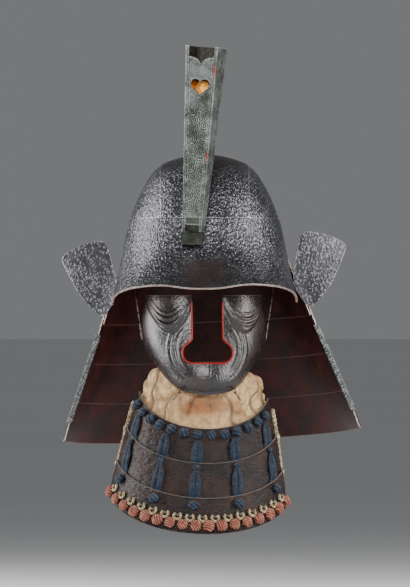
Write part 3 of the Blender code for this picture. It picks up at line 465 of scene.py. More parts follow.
PLAIN_LOOK = {
    "metallic": 0.0, "roughness": 0.34, "coat": 0.25, "patch": 24.0, "rim": 1.2, "wear_and_highlight": 0.7, "dust": 0.15,
    "worn": (0.3, 0.2, 0.15, 1), "grain": 6.0, "height": 0.25 * MM, "stretch": (1, 1, 1), "specular": 0.4,
}
red_lacquer = make_smooth_lacquer(
    "red lacquer", (0.33, 0.035, 0.014, 1), (0.16, 0.03, 0.015, 1), {**PLAIN_LOOK, "wear_and_highlight": 0.3}
)
nose_red = make_smooth_lacquer(
    "bright red lacquer", (0.24, 0.008, 0.005, 1), (0.14, 0.008, 0.005, 1),
    {**PLAIN_LOOK, "wear_and_highlight": 0.0, "dust": 0.0, "coat": 0.0, "specular": 0.25},
)
neck_red = make_smooth_lacquer(
    "red-brown lacquer", (0.01, 0.003, 0.0025, 1), (0.05, 0.007, 0.005, 1),
    {
        **PLAIN_LOOK, "worn": (0.16, 0.08, 0.06, 1), "stretch": (1, 1, 6), "grain": 12.0, "specular": 0.18,
        "coat": 0.0, "dust": 0.0, "roughness": 0.42, "wear_and_highlight": 0.5,
    },
)
worn_rim = make_smooth_lacquer(
    "worn rim", (0.36, 0.27, 0.23, 1), (0.14, 0.08, 0.065, 1),
    {**PLAIN_LOOK, "metallic": 0.4, "wear_and_highlight": 0.0, "patch": 7.0, "roughness": 0.42},
)
print("smooth lacquers ready")

# %% [markdown]
# ## The bowl
# The bowl is built from a fore-and-aft top plate, two side plates, a brow plate that sweeps out into the
# visor, and a band round the back. They share one dome: a rounded-square ring that widens by a table from
# the crown down. A ray from the middle of the bowl finds the dome, so that the plates' grids stay even.

# %% The dome
SEAT_GAP = 0.35 * MM
PLATE_WALL = 2.0 * MM
TOP_PLATE_RISE = 0.6 * MM
BROW_PLATE_RISE = 0.8 * MM
BOWL_HALF_WIDTH = 104 * MM
BOWL_FRONT_DEPTH = 110 * MM
BOWL_BACK_DEPTH = 122 * MM
BOWL_HEIGHT = 154 * MM
BOWL_SQUARENESS = 2.2
TOP_PLATE_HALF_WIDTH = 56 * MM
BROW_SEAM_DEPTH = 79 * MM
BAND_SEAM_DEPTH = 118 * MM
BOWL_PROFILE = (
    {"depth": 0.0, "width": 0.0},
    {"depth": 0.02, "width": 0.25},
    {"depth": 0.092, "width": 0.54},
    {"depth": 0.309, "width": 0.775},
    {"depth": 0.553, "width": 0.915},
    {"depth": 0.803, "width": 0.98},
    {"depth": 1.0, "width": 1.0},
    {"depth": 1.3, "width": 1.01},
)
BOWL_ROWS = [{"depth": math.sqrt(row["depth"]), "width": row["width"]} for row in BOWL_PROFILE]
BOWL_MIDDLE = Vector((0, 0, -0.6 * BOWL_HEIGHT))


def ring(azimuth, half_width, front, back):
    """A point of a rounded-square ring: azimuth 0 is the front, a right angle the wearer's left."""
    x, y = math.sin(azimuth), -math.cos(azimuth)
    depth = front if y < 0 else back
    total = abs(x / half_width) ** BOWL_SQUARENESS + abs(y / depth) ** BOWL_SQUARENESS
    radius = total ** (-1 / BOWL_SQUARENESS)
    return Vector((x * radius, y * radius, 0))


def bowl_share(height):
    """Share of the bowl's full width at this height."""
    return along(BOWL_ROWS, "depth", "width", math.sqrt(max(PLATE_WALL - height, 0) / BOWL_HEIGHT))


def bowl_point(azimuth, height):
    share = max(bowl_share(height), 1e-4)
    point = ring(azimuth, BOWL_HALF_WIDTH * share, BOWL_FRONT_DEPTH * share, BOWL_BACK_DEPTH * share)
    point.z = height
    return point


def bowl_hit(start, direction):
    """Where a ray from inside the bowl meets the dome."""
    near, far = 0.0, 2 * BOWL_BACK_DEPTH
    for _ in range(22):
        middle = (near + far) / 2
        point = start + direction * middle
        dome = bowl_point(math.atan2(point.x, -point.y), point.z)
        inside = point.z < PLATE_WALL and math.hypot(point.x, point.y) < math.hypot(dome.x, dome.y)
        near, far = (middle, far) if inside else (near, middle)
    return start + direction * near


def slice_base(v):
    """The height of the side plates' lower edge: the brow seam in front, the band's seam behind."""
    return -blend(BROW_SEAM_DEPTH, BAND_SEAM_DEPTH, max(2 * v - 1, 0))


def bowl_slice(x, v):
    """A point of the dome at this x: v runs from the brow seam over the crown to the seam at the back."""
    turn = math.pi * v
    return bowl_hit(Vector((x, 0, slice_base(v))), Vector((0, -math.cos(turn), math.sin(turn))))


def top_plate_surface(u, v):
    return bowl_slice(blend(-TOP_PLATE_HALF_WIDTH, TOP_PLATE_HALF_WIDTH, u), v)


def side_plate_surface(side):
    def surface(u, v):
        reach = BOWL_HALF_WIDTH * bowl_share(slice_base(v)) - 0.02 * MM
        start = TOP_PLATE_HALF_WIDTH + SEAT_GAP
        return bowl_slice(side * blend(start, reach, math.sin(u * math.pi / 2)), v)

    return surface


print("bowl", round(2 * BOWL_HALF_WIDTH / MM), "mm wide and", round(BOWL_HEIGHT / MM), "mm high")

# %% [markdown]
# ### Visor and band
# The brow plate starts on the dome and flares forward towards a rim that is high on each side, dips a little
# at the middle and drops to a point at each temple. Its front part is smooth, and near each temple, where the
# real metal was folded along a crease, the grain fades out to a smooth facet, darker because the painted
# highlight on the grain's tops fades with it.

# %% The brow plate and the band
VISOR_HALF_WIDTH = 117.5 * MM
VISOR_REACH = 150 * MM
VISOR_TIP_SETBACK = 35 * MM
VISOR_CENTRE_DROP = 168 * MM
VISOR_TIP_DROP = 187 * MM
VISOR_SWEEP_POWER = 2.4
VISOR_SKEW = 2 * MM
VISOR_RIM = (
    {"along": 0.0, "drop": 0.0},
    {"along": 0.1, "drop": -0.02},
    {"along": 0.3, "drop": -0.25},
    {"along": 0.55, "drop": -0.12},
    {"along": 0.75, "drop": 0.2},
    {"along": 0.9, "drop": 0.58},
    {"along": 1.0, "drop": 1.0},
)


def brow_point(s, v):
    """The brow plate's seat: s runs from the wearer's right tip to the left one, v from seam to rim."""
    drop = along(VISOR_RIM, "along", "drop", abs(s))
    rim_height = -blend(VISOR_CENTRE_DROP, VISOR_TIP_DROP, drop) + VISOR_SKEW * s
    azimuth = s * (math.pi / 2 - SEAT_GAP / BOWL_HALF_WIDTH)
    height = blend(-BROW_SEAM_DEPTH - SEAT_GAP, rim_height, v)
    reach = VISOR_REACH - VISOR_TIP_SETBACK
    rim = Vector((VISOR_HALF_WIDTH * math.sin(azimuth), -reach * max(math.cos(azimuth), 0) ** 0.85, 0))
    rim.y -= VISOR_TIP_SETBACK
    base = bowl_point(azimuth, height)
    point = base + (rim - bowl_point(azimuth, rim_height)) * v**VISOR_SWEEP_POWER
    return Vector((point.x, point.y, height))


def band_surface(u, v):
    first = math.pi / 2 + SEAT_GAP / BOWL_HALF_WIDTH
    azimuth = blend(first, math.tau - first, u)
    return bowl_point(azimuth, -blend(BAND_SEAM_DEPTH + SEAT_GAP, BOWL_HEIGHT - PLATE_WALL, v))


def surface_normal(surface, u, v, inside):
    """The surface's normal at (u, v), on the side away from the point inside."""
    step = 0.004
    across = surface(min(u + step, 1), v) - surface(max(u - step, 0), v)
    down = surface(u, min(v + step, 1)) - surface(u, max(v - step, 0))
    normal = across.cross(down).normalized()
    return normal if normal.dot(surface(u, v) - inside) > 0 else -normal


print("visor reaches", round(VISOR_REACH / MM), "mm forward")

# %% [markdown]
# ### From a surface to a plate
# Blender's modifiers do the heavy work. A grid of a few thousand points follows the surface; Subdivision
# rounds it, Displace with a procedural texture raises real grains, Solidify gives the wall and hands other
# materials to the inner side and the rim, and Bevel softens the edges. The result is then kept as a mesh.

# %% Sheets and plates
RIM_ATTRIBUTE_REACH = 20.0


def sheet(name, surface, steps, inside, lift=0.0, place=None):
    """A grid of faces on a surface, raised by lift, with UVs in millimetres and the rim attribute.

    lift is a length, or a function of u and v; place moves the finished points into the helmet's frame.
    """
    across, down = steps
    points = []
    for i in range(across + 1):
        for j in range(down + 1):
            u, v = i / across, j / down
            rise = lift(u, v) if callable(lift) else lift
            point = surface(u, v)
            if rise:
                point = point + surface_normal(surface, u, v, inside) * rise
            points.append(place(point) if place else point)

    def at(i, j):
        return i * (down + 1) + j

    middle = down // 2
    width = sum((points[at(i + 1, middle)] - points[at(i, middle)]).length for i in range(across)) / MM
    middle = across // 2
    height = sum((points[at(middle, j + 1)] - points[at(middle, j)]).length for j in range(down)) / MM
    cells = [(i, j) for i in range(across) for j in range(down)]
    faces = [(at(i, j), at(i + 1, j), at(i + 1, j + 1), at(i, j + 1)) for i, j in cells]
    i, j = across // 2, down // 2
    first = points[at(i + 1, j)] - points[at(i, j)]
    second = points[at(i, j + 1)] - points[at(i, j)]
    centre = place(inside) if place else inside
    if first.cross(second).dot(points[at(i, j)] - centre) < 0:
        faces = [tuple(reversed(face)) for face in faces]
    mesh = bpy.data.meshes.new(name)
    mesh.from_pydata([tuple(p) for p in points], [], faces)
    chart = mesh.uv_layers.new(name="UVMap").uv
    for loop in mesh.loops:
        column, row = divmod(loop.vertex_index, down + 1)
        chart[loop.index].vector = (column / across * width, row / down * height)
    rim = mesh.attributes.new("rim", "FLOAT", "POINT").data
    for index in range(len(points)):
        u, v = (index // (down + 1)) / across, (index % (down + 1)) / down
        near = min(u * width, (1 - u) * width, v * height, (1 - v) * height)
        rim[index].value = min(near, RIM_ATTRIBUTE_REACH)
    made = bpy.data.objects.new(name, mesh)
    bpy.context.scene.collection.objects.link(made)
    return made


def round_off(piece, levels):
    made = piece.modifiers.new("Subdivision", "SUBSURF")
    made.levels = made.render_levels = levels
    made.boundary_smooth = "PRESERVE_CORNERS"


def raise_grain(piece, kind, size, strength, group=""):
    """Real relief from one of Blender's procedural textures."""
    texture = bpy.data.textures.new(f"{piece.name} {kind.lower()}", kind)
    texture.noise_scale = size
    made = piece.modifiers.new("Grain", "DISPLACE")
    made.texture = texture
    made.texture_coords = "LOCAL"
    made.strength = strength
    made.mid_level = 0.5
    made.vertex_group = group


def thicken(piece, wall, edge=0.45 * MM):
    """A wall inwards, the second material inside and the third on the rim."""
    made = piece.modifiers.new("Wall", "SOLIDIFY")
    made.thickness = wall
    made.offset = -1
    made.use_even_offset = True
    made.material_offset = 1
    made.material_offset_rim = 2
    soft = piece.modifiers.new("Edges", "BEVEL")
    soft.width = edge
    soft.segments = 2
    soft.limit_method = "ANGLE"
    soft.angle_limit = math.radians(62)


def settle(piece, sharp=55):
    """Keep the mesh that the modifiers made."""
    bpy.context.view_layer.update()
    depsgraph = bpy.context.evaluated_depsgraph_get()
    mesh = bpy.data.meshes.new_from_object(piece.evaluated_get(depsgraph))
    piece.modifiers.clear()
    piece.data = mesh
    mesh.shade_smooth()
    mesh.set_sharp_from_angle(angle=math.radians(sharp))
    return piece


def fit(piece, slot, *nodes):
    """Let the finished piece ride on the helmet and stand for these nodes of the frame."""
    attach(piece, "root")
    if nodes:
        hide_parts(*nodes)
    print(piece.name, len(piece.data.polygons), "faces")


def wall_up(piece, materials, wall):
    """Materials first, so that the wall modifier can hand them out, then the finished mesh."""
    for material in materials:
        piece.data.materials.append(material)
    thicken(piece, wall)
    return settle(piece)


# %% [markdown]
# ### The bowl's five plates
# A vertex group named relief says how strong the relief is at each point. It fades towards the plates' edges,
# so that neighbours meet cleanly, and on the rubbed places of the crown and the brow.

# %% Bowl plates
GRAIN_CELL = 4.0 * MM
GRAIN_HEIGHT = 0.6 * MM
CROWN_PATCH = {"middle": (0.012, -0.035, 0.0), "size": (0.04, 0.07, 0.016)}
BROW_PATCH = {"middle": (-0.002, -0.15, -0.146), "size": (0.032, 0.06, 0.02)}
FACET = {"x": 108 * MM, "top": -120 * MM}


def rubbed_brown(point):
    """How deep a point lies in one of the two rubbed places, 0 to 1, with a ragged edge."""
    deepest = 0.0
    for patch in (CROWN_PATCH, BROW_PATCH):
        offset = [(point[k] - patch["middle"][k]) / patch["size"][k] for k in range(3)]
        ragged = math.hypot(*offset) + 0.45 * grain.noise(point * 45)
        deepest = max(deepest, eased(1.5 - ragged))
    return deepest


def temple_facet(point):
    """1 on the smooth facet that the folded visor has at each temple."""
    # The grain fades here, and with it the painted highlight on its tops, so the facet renders darker.
    return eased((abs(point.x) - FACET["x"]) / MM) * eased((FACET["top"] - point.z) / (8 * MM))


def mark_bowl(piece):
    """Store where the bowl is rubbed or smooth, and how strong its relief is."""
    points = [vertex.co.copy() for vertex in piece.data.vertices]
    rims = [item.value for item in piece.data.attributes["rim"].data]
    marks = {
        "browned": [rubbed_brown(point) for point in points],
        "smooth": [temple_facet(point) for point in points],
    }
    for name, values in marks.items():
        piece.data.attributes.new(name, "FLOAT", "POINT").data.foreach_set("value", values)
    relief = piece.vertex_groups.new(name="relief")
    for index, (browned, smooth, rim) in enumerate(zip(marks["browned"], marks["smooth"], rims)):
        relief.add([index], (1 - 0.8 * browned) * (1 - smooth) * eased(rim / 3), "REPLACE")


def bowl_plate(node, surface, steps, lift, wall, rim):
    piece = sheet(f"{node}_metal", surface, steps, BOWL_MIDDLE, lift)
    mark_bowl(piece)
    round_off(piece, 2)
    raise_grain(piece, "VORONOI", GRAIN_CELL, -GRAIN_HEIGHT, "relief")
    fit(wall_up(piece, (bowl_lacquer, red_lacquer, rim), wall), "black_lacquer", node)


bowl_plate("bowl_top_plate", top_plate_surface, (22, 60), TOP_PLATE_RISE, PLATE_WALL, bowl_lacquer)
bowl_plate("bowl_side_right", side_plate_surface(-1), (12, 50), 0.0, PLATE_WALL, bowl_lacquer)
bowl_plate("bowl_side_left", side_plate_surface(1), (12, 50), 0.0, PLATE_WALL, bowl_lacquer)
brow_wall = PLATE_WALL + BROW_PLATE_RISE
bowl_plate(
    "brow_plate", lambda u, v: brow_point(2 * u - 1, v), (64, 22), BROW_PLATE_RISE, brow_wall, worn_rim
)
bowl_plate("bowl_base_band", band_surface, (60, 7), 0.0, PLATE_WALL, bowl_lacquer)

# %% [markdown]
# ## The neck guard
# Four lames hang one below the other, each a little outside the one above, and spread like a bell. They are
# black and lightly pebbled outside and dark red-brown inside. The first lame ends in two turn-backs, wings
# that sweep out and back beside the visor. The whole guard hangs a little askew, rolled to one side.

# %% The neck guard's surface
LAME_WALL = 1.8 * MM
NECK_SEAT = 0.5 * MM
NECK_TOP_DEPTH = 134 * MM
NECK_HEIGHT = 215 * MM
NECK_HALF_WIDTH = 190 * MM
NECK_BACK_DEPTH = 205 * MM
NECK_BACK_DROP = 15 * MM
NECK_FRONT_EDGE_TOP = 3 * MM
NECK_FRONT_EDGE_SLANT = 40 * MM
NECK_ROLL = math.radians(-2.6)
NECK_FIRST_LAME_SHARE = 0.335
NECK_LAMES = 4
LAME_OVERLAP = 11 * MM
NECK_MIDDLE = Vector((0, 0.2 * NECK_BACK_DEPTH, -NECK_TOP_DEPTH - 0.5 * NECK_HEIGHT))


def neck_place(point):
    return turned(point, "Y", NECK_ROLL, Vector((0, 0, -NECK_TOP_DEPTH - 6 * MM)))


def neck_front_edge(t):
    return NECK_FRONT_EDGE_TOP - NECK_FRONT_EDGE_SLANT * t


def neck_point(u, t):
    """The seat of all lames: u runs from the right front edge round the back to the left one."""
    top = bowl_point(math.pi / 2, -NECK_TOP_DEPTH)
    half_width = blend(top.x + NECK_SEAT, NECK_HALF_WIDTH, t)
    back = blend(BOWL_BACK_DEPTH * top.x / BOWL_HALF_WIDTH + NECK_SEAT, NECK_BACK_DEPTH, t)
    front = blend(BOWL_FRONT_DEPTH, NECK_HALF_WIDTH, t)
    first = math.atan2(half_width, -neck_front_edge(t))
    azimuth = blend(math.tau - first, first, u)
    point = ring(azimuth, half_width, front, back)
    rear = (1 - math.cos(azimuth)) / 2
    point.z = -NECK_TOP_DEPTH - NECK_HEIGHT * t - NECK_BACK_DROP * t * rear**2
    return point


def neck_shares(lame):
    """Where this lame starts and ends, as shares of the guard's height."""
    rest = (1 - NECK_FIRST_LAME_SHARE) / (NECK_LAMES - 1)
    if lame == 0:
        return 0.0, NECK_FIRST_LAME_SHARE
    return NECK_FIRST_LAME_SHARE + rest * (lame - 1), NECK_FIRST_LAME_SHARE + rest * lame


def neck_rise(lame, t):
    """Each lame stands outside the one above it."""
    start, end = neck_shares(lame)
    return (LAME_WALL + 1.5 * SEAT_GAP) * (1 - (t - start) / (end - start))


def make_neck_lame(lame):
    start, end = neck_shares(lame)
    start = max(start - LAME_OVERLAP / NECK_HEIGHT, 0)

    def surface(u, v):
        return neck_point(u, blend(start, end, v))

    def lift(u, v):
        return neck_rise(lame, blend(start, end, v))

    piece = sheet(f"neck_lame_{lame + 1}_lacquered", surface, (72, 8), NECK_MIDDLE, lift, neck_place)
    round_off(piece, 2)
    raise_grain(piece, "CLOUDS", 18 * MM, 0.35 * MM)
    wall_up(piece, (wing_lacquer, neck_red, worn_rim), LAME_WALL)
    fit(piece, "black_lacquer", f"neck_lame_{lame + 1}")


for lame in range(NECK_LAMES):
    make_neck_lame(lame)

# %% [markdown]
# ### Turn-backs
# Each wing is a rounded outline in front of the first lame's end. The outline is a table of inside and
# outside shares at a few heights; the wing curves back more and more away from the lame.

# %% Turn-backs
TURN_BACK_WIDTH = 69 * MM
TURN_BACK_HEIGHT = 95 * MM
TURN_BACK_ROOT = neck_point(1, NECK_FIRST_LAME_SHARE).x - 20.3 * MM
TURN_BACK_TOP_DEPTH = 101.5 * MM
TURN_BACK_SWEEP = 0.42
TURN_BACK_OUTLINE = (
    {"height": 0.0, "inside": 0.26, "outside": 0.33},
    {"height": 0.05, "inside": 0.19, "outside": 0.41},
    {"height": 0.12, "inside": 0.13, "outside": 0.505},
    {"height": 0.28, "inside": 0.01, "outside": 0.675},
    {"height": 0.45, "inside": 0.01, "outside": 0.80},
    {"height": 0.62, "inside": 0.05, "outside": 0.91},
    {"height": 0.75, "inside": 0.08, "outside": 0.98},
    {"height": 0.81, "inside": 0.10, "outside": 0.98},
    {"height": 0.87, "inside": 0.12, "outside": 0.88},
    {"height": 0.94, "inside": 0.15, "outside": 0.68},
    {"height": 0.98, "inside": 0.19, "outside": 0.50},
    {"height": 1.0, "inside": 0.24, "outside": 0.37},
)


def turn_back_surface(side):
    def surface(u, v):
        inner = along(TURN_BACK_OUTLINE, "height", "inside", v)
        outer = along(TURN_BACK_OUTLINE, "height", "outside", v)
        x = TURN_BACK_ROOT + TURN_BACK_WIDTH * blend(inner, outer, u)
        z = -TURN_BACK_TOP_DEPTH - TURN_BACK_HEIGHT * (1 - v)
        t = min(max((-NECK_TOP_DEPTH - z) / NECK_HEIGHT, 0), NECK_FIRST_LAME_SHARE)
        lame_edge = neck_point(1, t).x + LAME_WALL
        past = max(x - lame_edge - 3 * MM, 0)
        y = neck_front_edge(t) - 2 * SEAT_GAP + TURN_BACK_SWEEP * past**1.5 / TURN_BACK_WIDTH**0.5
        return Vector((side * x, y, z))

    return surface


def make_turn_back(side, word):
    inside = Vector((side * 1.3 * TURN_BACK_ROOT, NECK_BACK_DEPTH, -TURN_BACK_TOP_DEPTH))
    name = f"turn_back_{word}_lacquered"
    piece = sheet(name, turn_back_surface(side), (14, 22), inside, LAME_WALL, neck_place)
    round_off(piece, 2)
    raise_grain(piece, "VORONOI", 3.6 * MM, -0.4 * MM)
    wall_up(piece, (wing_lacquer, neck_red, wing_lacquer), LAME_WALL)
    fit(piece, "black_lacquer", f"turn_back_{word}")


SIDES = ((-1, "right"), (1, "left"))
for side, word in SIDES:
    make_turn_back(side, word)

# %% [markdown]
# ## The face mask
# The half mask is one plate of iron, raised from behind: swollen pads under the eyes with stacked ridges,
# curved folds beside the nose, and a chin with fine engraved hair. The nose is an open slot that swells at
# the nostrils, with its edge turned out and lacquered red. The forms that a hand could feel are made in the
# mesh, and only the finest scratches are left to bump.

# %% Material: mask lacquer
MASK_LOOK = {
    **PLAIN_LOOK, "metallic": 0.3, "roughness": 0.28, "coat": 0.0, "specular": 0.8, "patch": 44.0, "rim": 1.0,
    "wear_and_highlight": 0.5,
    "worn": (0.16, 0.13, 0.12, 1), "grain": 3.4, "height": 0.7 * MM, "dust": 0.05,
}
mask_lacquer = make_smooth_lacquer(
    "mask lacquer", (0.011, 0.01, 0.011, 1), (0.028, 0.016, 0.013, 1), MASK_LOOK
)

# %% The mask's surface
MASK_WALL = 2.0 * MM
MASK_HALF_WIDTH = 78.5 * MM
MASK_TOP_DEPTH = 176 * MM
MASK_HEIGHT = 126 * MM
MASK_REACH = 79 * MM
MASK_AXIS_Y = -40 * MM
MASK_YAW = math.radians(4.5)
MASK_OFFSET = -1.5 * MM
MASK_SPAN = math.radians(86)
EYE_PAD_RISE = 6 * MM
EYE_PAD_RIDGE = 2.6 * MM
CHEEK_RIDGE = 1.5 * MM
CHEEK_FOLDS = {"first": 1.15, "last": 1.62, "pitch": 0.157}
CHIN_RISE = 4.0 * MM
HAIR_DEPTH = 0.7 * MM
NOSE_HALF_WIDTH = 19.7 * MM
NOSTRIL_HALF_WIDTH = 32 * MM
NOSTRIL_HALF_HEIGHT = 13.5 * MM
NOSE_BOTTOM_DEPTH = 262 * MM
MASK_MIDDLE = Vector((0, MASK_AXIS_Y, -MASK_TOP_DEPTH - 0.4 * MASK_HEIGHT))
MASK_SECTIONS = (
    {"depth": 0.0, "width": 0.93, "reach": 0.76, "span": 1.0},
    {"depth": 0.28, "width": 1.0, "reach": 0.83, "span": 1.0},
    {"depth": 0.47, "width": 0.975, "reach": 0.91, "span": 0.98},
    {"depth": 0.62, "width": 0.90, "reach": 0.965, "span": 0.93},
    {"depth": 0.74, "width": 0.79, "reach": 1.0, "span": 0.86},
    {"depth": 0.87, "width": 0.65, "reach": 0.99, "span": 0.74},
    {"depth": 0.95, "width": 0.545, "reach": 0.94, "span": 0.62},
    {"depth": 1.0, "width": 0.45, "reach": 0.88, "span": 0.54},
)


def mask_place(point):
    return turned(point, "Z", MASK_YAW, Vector((0, MASK_AXIS_Y, 0))) + Vector((MASK_OFFSET, 0, 0))


def eye_pad(x, z):
    """Rise of the swollen pads under the eyes, with their stacked ridges."""
    dx = abs(x) / MASK_HALF_WIDTH - 0.59
    dz = (z + MASK_TOP_DEPTH) / MASK_HEIGHT
    level = dz - 2.25 * dx * dx
    side = max(1 - (dx / 0.35) ** 2, 0)
    foot = eased((level + 0.40) / 0.09)
    wave = 0.5 + 0.5 * math.cos(math.tau * (level + 0.355) / 0.058)
    ridged = EYE_PAD_RIDGE * wave**1.4 * eased((level + 0.41) / 0.03) * eased((-0.17 - level) / 0.03)
    return side**0.7 * foot * EYE_PAD_RISE + side * foot * ridged


def cheek_ridges(x, z):
    """Rise of the curved folds beside the nose opening."""
    radius = math.hypot(abs(x), z + NOSE_BOTTOM_DEPTH - 1.4 * NOSTRIL_HALF_HEIGHT) / NOSTRIL_HALF_WIDTH
    if not CHEEK_FOLDS["first"] < radius < CHEEK_FOLDS["last"]:
        return 0.0
    side = max(abs(x) / NOSTRIL_HALF_WIDTH - 0.75, 0)
    wave = 0.5 - 0.5 * math.cos(math.tau * (radius - CHEEK_FOLDS["first"]) / CHEEK_FOLDS["pitch"])
    return CHEEK_RIDGE * min(side * 2.5, 1) * wave**1.3


def chin(x, z):
    """The chin's swell, and the fan of engraved hair over lip and chin."""
    dx, dz = x / (30 * MM), (z + 283 * MM) / (16 * MM)
    swell = math.exp(-dx * dx - dz * dz)
    fan = math.atan2(x, -(z + 215 * MM))
    stray = grain.noise(Vector((x, 0, z)) * 90)
    hair = abs(math.sin(62 * fan + 2.5 * stray))
    patch = eased((1.5 - math.hypot(x / (42 * MM), (z + 281 * MM) / (18 * MM))) * 1.6)
    return CHIN_RISE * swell - HAIR_DEPTH * hair * patch


def mask_surface(u, v):
    """The mask's outer face before its yaw: u runs from its right side to its left, v down."""
    s = 2 * u - 1
    width = along(MASK_SECTIONS, "depth", "width", v) * MASK_HALF_WIDTH
    reach = along(MASK_SECTIONS, "depth", "reach", v) * MASK_REACH
    span = along(MASK_SECTIONS, "depth", "span", v) * MASK_SPAN
    turn = s * span
    x = width * math.sin(turn) / math.sin(span)
    y = MASK_AXIS_Y - reach * math.cos(turn) ** 0.9
    z = -MASK_TOP_DEPTH - MASK_HEIGHT * v * (1 - 0.06 * s * s * v)
    out = Vector((math.sin(turn), -math.cos(turn), 0))
    flange = 1.4 * MM * eased((v - 0.965) / 0.03)
    dents = 0.5 * MM * grain.noise(Vector((x, 0, z)) * 55)
    return Vector((x, y, z)) + out * (eye_pad(x, z) + cheek_ridges(x, z) + chin(x, z) + flange + dents)


def mask_shares(x, z):
    """The u and v of the mask's point at this x and height, before its yaw."""
    s = v = 0.0
    for _ in range(4):
        v = (-z - MASK_TOP_DEPTH) / MASK_HEIGHT / (1 - 0.06 * s * s * v)
        span = along(MASK_SECTIONS, "depth", "span", v) * MASK_SPAN
        width = along(MASK_SECTIONS, "depth", "width", v) * MASK_HALF_WIDTH
        s = math.asin(max(min(x * math.sin(span) / width, 1), -1)) / span
    return (s + 1) / 2, max(v, 0)


# %% [markdown]
# ### Cutting the nose
# The opening is an outline of straight sides and a round bulb. A Boolean modifier cuts it out of the finished
# wall with a prism, which is thrown away after. A red bead then follows the same outline on the surface: it
# is the turned-out edge.

# %% The nose opening


def nose_outline(bulb_steps):
    """The opening as (x, z) pairs: a slot, open at the top, that swells into the nostrils."""
    top = -MASK_TOP_DEPTH + 5 * MM
    middle = -NOSE_BOTTOM_DEPTH + NOSTRIL_HALF_HEIGHT
    right = [(NOSE_HALF_WIDTH, top), (NOSE_HALF_WIDTH, middle + 1.6 * NOSTRIL_HALF_HEIGHT)]
    right.append((NOSE_HALF_WIDTH + 1.5 * MM, middle + 1.15 * NOSTRIL_HALF_HEIGHT))
    for k in range(bulb_steps):
        turn = math.radians(blend(58, -90, k / (bulb_steps - 1)))
        x = NOSTRIL_HALF_WIDTH - NOSTRIL_HALF_HEIGHT * (1 - math.cos(turn))
        right.append((x, middle + NOSTRIL_HALF_HEIGHT * math.sin(turn)))
    return right + [(-x, z) for x, z in reversed(right)]


def cut_prism(piece, outline, back, front, place):
    """Cut a prism with this outline of (x, z) pairs out of the piece."""
    count = len(outline)
    points = [place(Vector((x, y, z))) for y in (back, front) for x, z in outline]
    faces = [tuple(range(count)), tuple(range(count, 2 * count))]
    faces += [(k, (k + 1) % count, (k + 1) % count + count, k + count) for k in range(count)]
    cut_solid(piece, points, faces)


def cut_solid(piece, points, faces):
    """Cut a closed solid out of the piece and keep the result."""
    mesh = bpy.data.meshes.new("cutter")
    mesh.from_pydata([tuple(p) for p in points], [], faces)
    work = bmesh.new()
    work.from_mesh(mesh)
    bmesh.ops.recalc_face_normals(work, faces=work.faces)
    work.to_mesh(mesh)
    work.free()
    cutter = bpy.data.objects.new("cutter", mesh)
    bpy.context.scene.collection.objects.link(cutter)
    made = piece.modifiers.new("Cut", "BOOLEAN")
    made.operation = "DIFFERENCE"
    made.object = cutter
    settle(piece)
    bpy.data.objects.remove(cutter)


def make_mask():
    piece = sheet("mask_lacquered", mask_surface, (110, 96), MASK_MIDDLE, 0.0, mask_place)
    round_off(piece, 1)
    wall_up(piece, (mask_lacquer, red_lacquer, mask_lacquer), MASK_WALL)
    cut_prism(piece, nose_outline(24), MASK_AXIS_Y, -3 * MASK_REACH, mask_place)
    fit(piece, "brown_lacquer", "mask")


make_mask()

# %% [markdown]
# ## Strands, cords and knots
# Silk is braided or twisted, so a smooth tube never looks right. A strand here is a closed tube through
# stations, each with a centre and two half-size vectors, and a ridge function swells it where threads cross.
# Many strands are gathered in one heap and become one mesh. Their UVs give the braid its direction.

# %% Strands


class Heap:
    """Many small shapes gathered into one mesh."""

    def __init__(self):
        self.points, self.faces, self.charts = [], [], []

    def add(self, points, faces, charts):
        """charts holds one (u, v) for each corner of each face."""
        first = len(self.points)
        self.points += [tuple(point) for point in points]
        self.faces += [tuple(index + first for index in face) for face in faces]
        self.charts += charts

    def piece(self, name, materials, sharp=75):
        mesh = bpy.data.meshes.new(name)
        mesh.from_pydata(self.points, [], self.faces)
        chart = mesh.uv_layers.new(name="UVMap").uv
        corner = 0
        for face in self.charts:
            for place in face:
                chart[corner].vector = place
                corner += 1
        work = bmesh.new()
        work.from_mesh(mesh)
        bmesh.ops.recalc_face_normals(work, faces=work.faces)
        work.to_mesh(mesh)
        work.free()
        mesh.shade_smooth()
        mesh.set_sharp_from_angle(angle=math.radians(sharp))
        for material in materials:
            mesh.materials.append(material)
        made = bpy.data.objects.new(name, mesh)
        bpy.context.scene.collection.objects.link(made)
        return made


def strand(heap, stations, sides=8, ridge=None):
    """A closed tube through stations of centre, side and out; ridge(turn, length in mm) swells it."""
    points, length = [], 0.0
    lengths = []
    for index, (centre, side, out) in enumerate(stations):
        if index:
            length += (centre - stations[index - 1][0]).length / MM
        lengths.append(length)
        for k in range(sides):
            turn = math.tau * k / sides
            swell = ridge(turn, length) if ridge else 1
            points.append(centre + (side * math.cos(turn) + out * math.sin(turn)) * swell)
    faces, charts = [], []
    for i in range(len(stations) - 1):
        for k in range(sides):
            after = (k + 1) % sides
            faces.append((i * sides + k, i * sides + after, (i + 1) * sides + after, (i + 1) * sides + k))
            u, v = k / sides, (k + 1) / sides
            charts.append([(u, lengths[i]), (v, lengths[i]), (v, lengths[i + 1]), (u, lengths[i + 1])])
    for first in (0, (len(stations) - 1) * sides):
        faces.append(tuple(range(first, first + sides)))
        charts.append([(k / sides, lengths[-1] if first else 0.0) for k in range(sides)])
    heap.add(points, faces, charts)


def framed(path, radius, out):
    """Stations of a round strand: its radius is a length, or a function of the share along it."""
    stations = []
    for index, point in enumerate(path):
        heading = (path[min(index + 1, len(path) - 1)] - path[max(index - 1, 0)]).normalized()
        side = heading.cross(out).normalized()
        size = radius(index / (len(path) - 1)) if callable(radius) else radius
        stations.append((point, side * size, side.cross(heading) * size))
    return stations


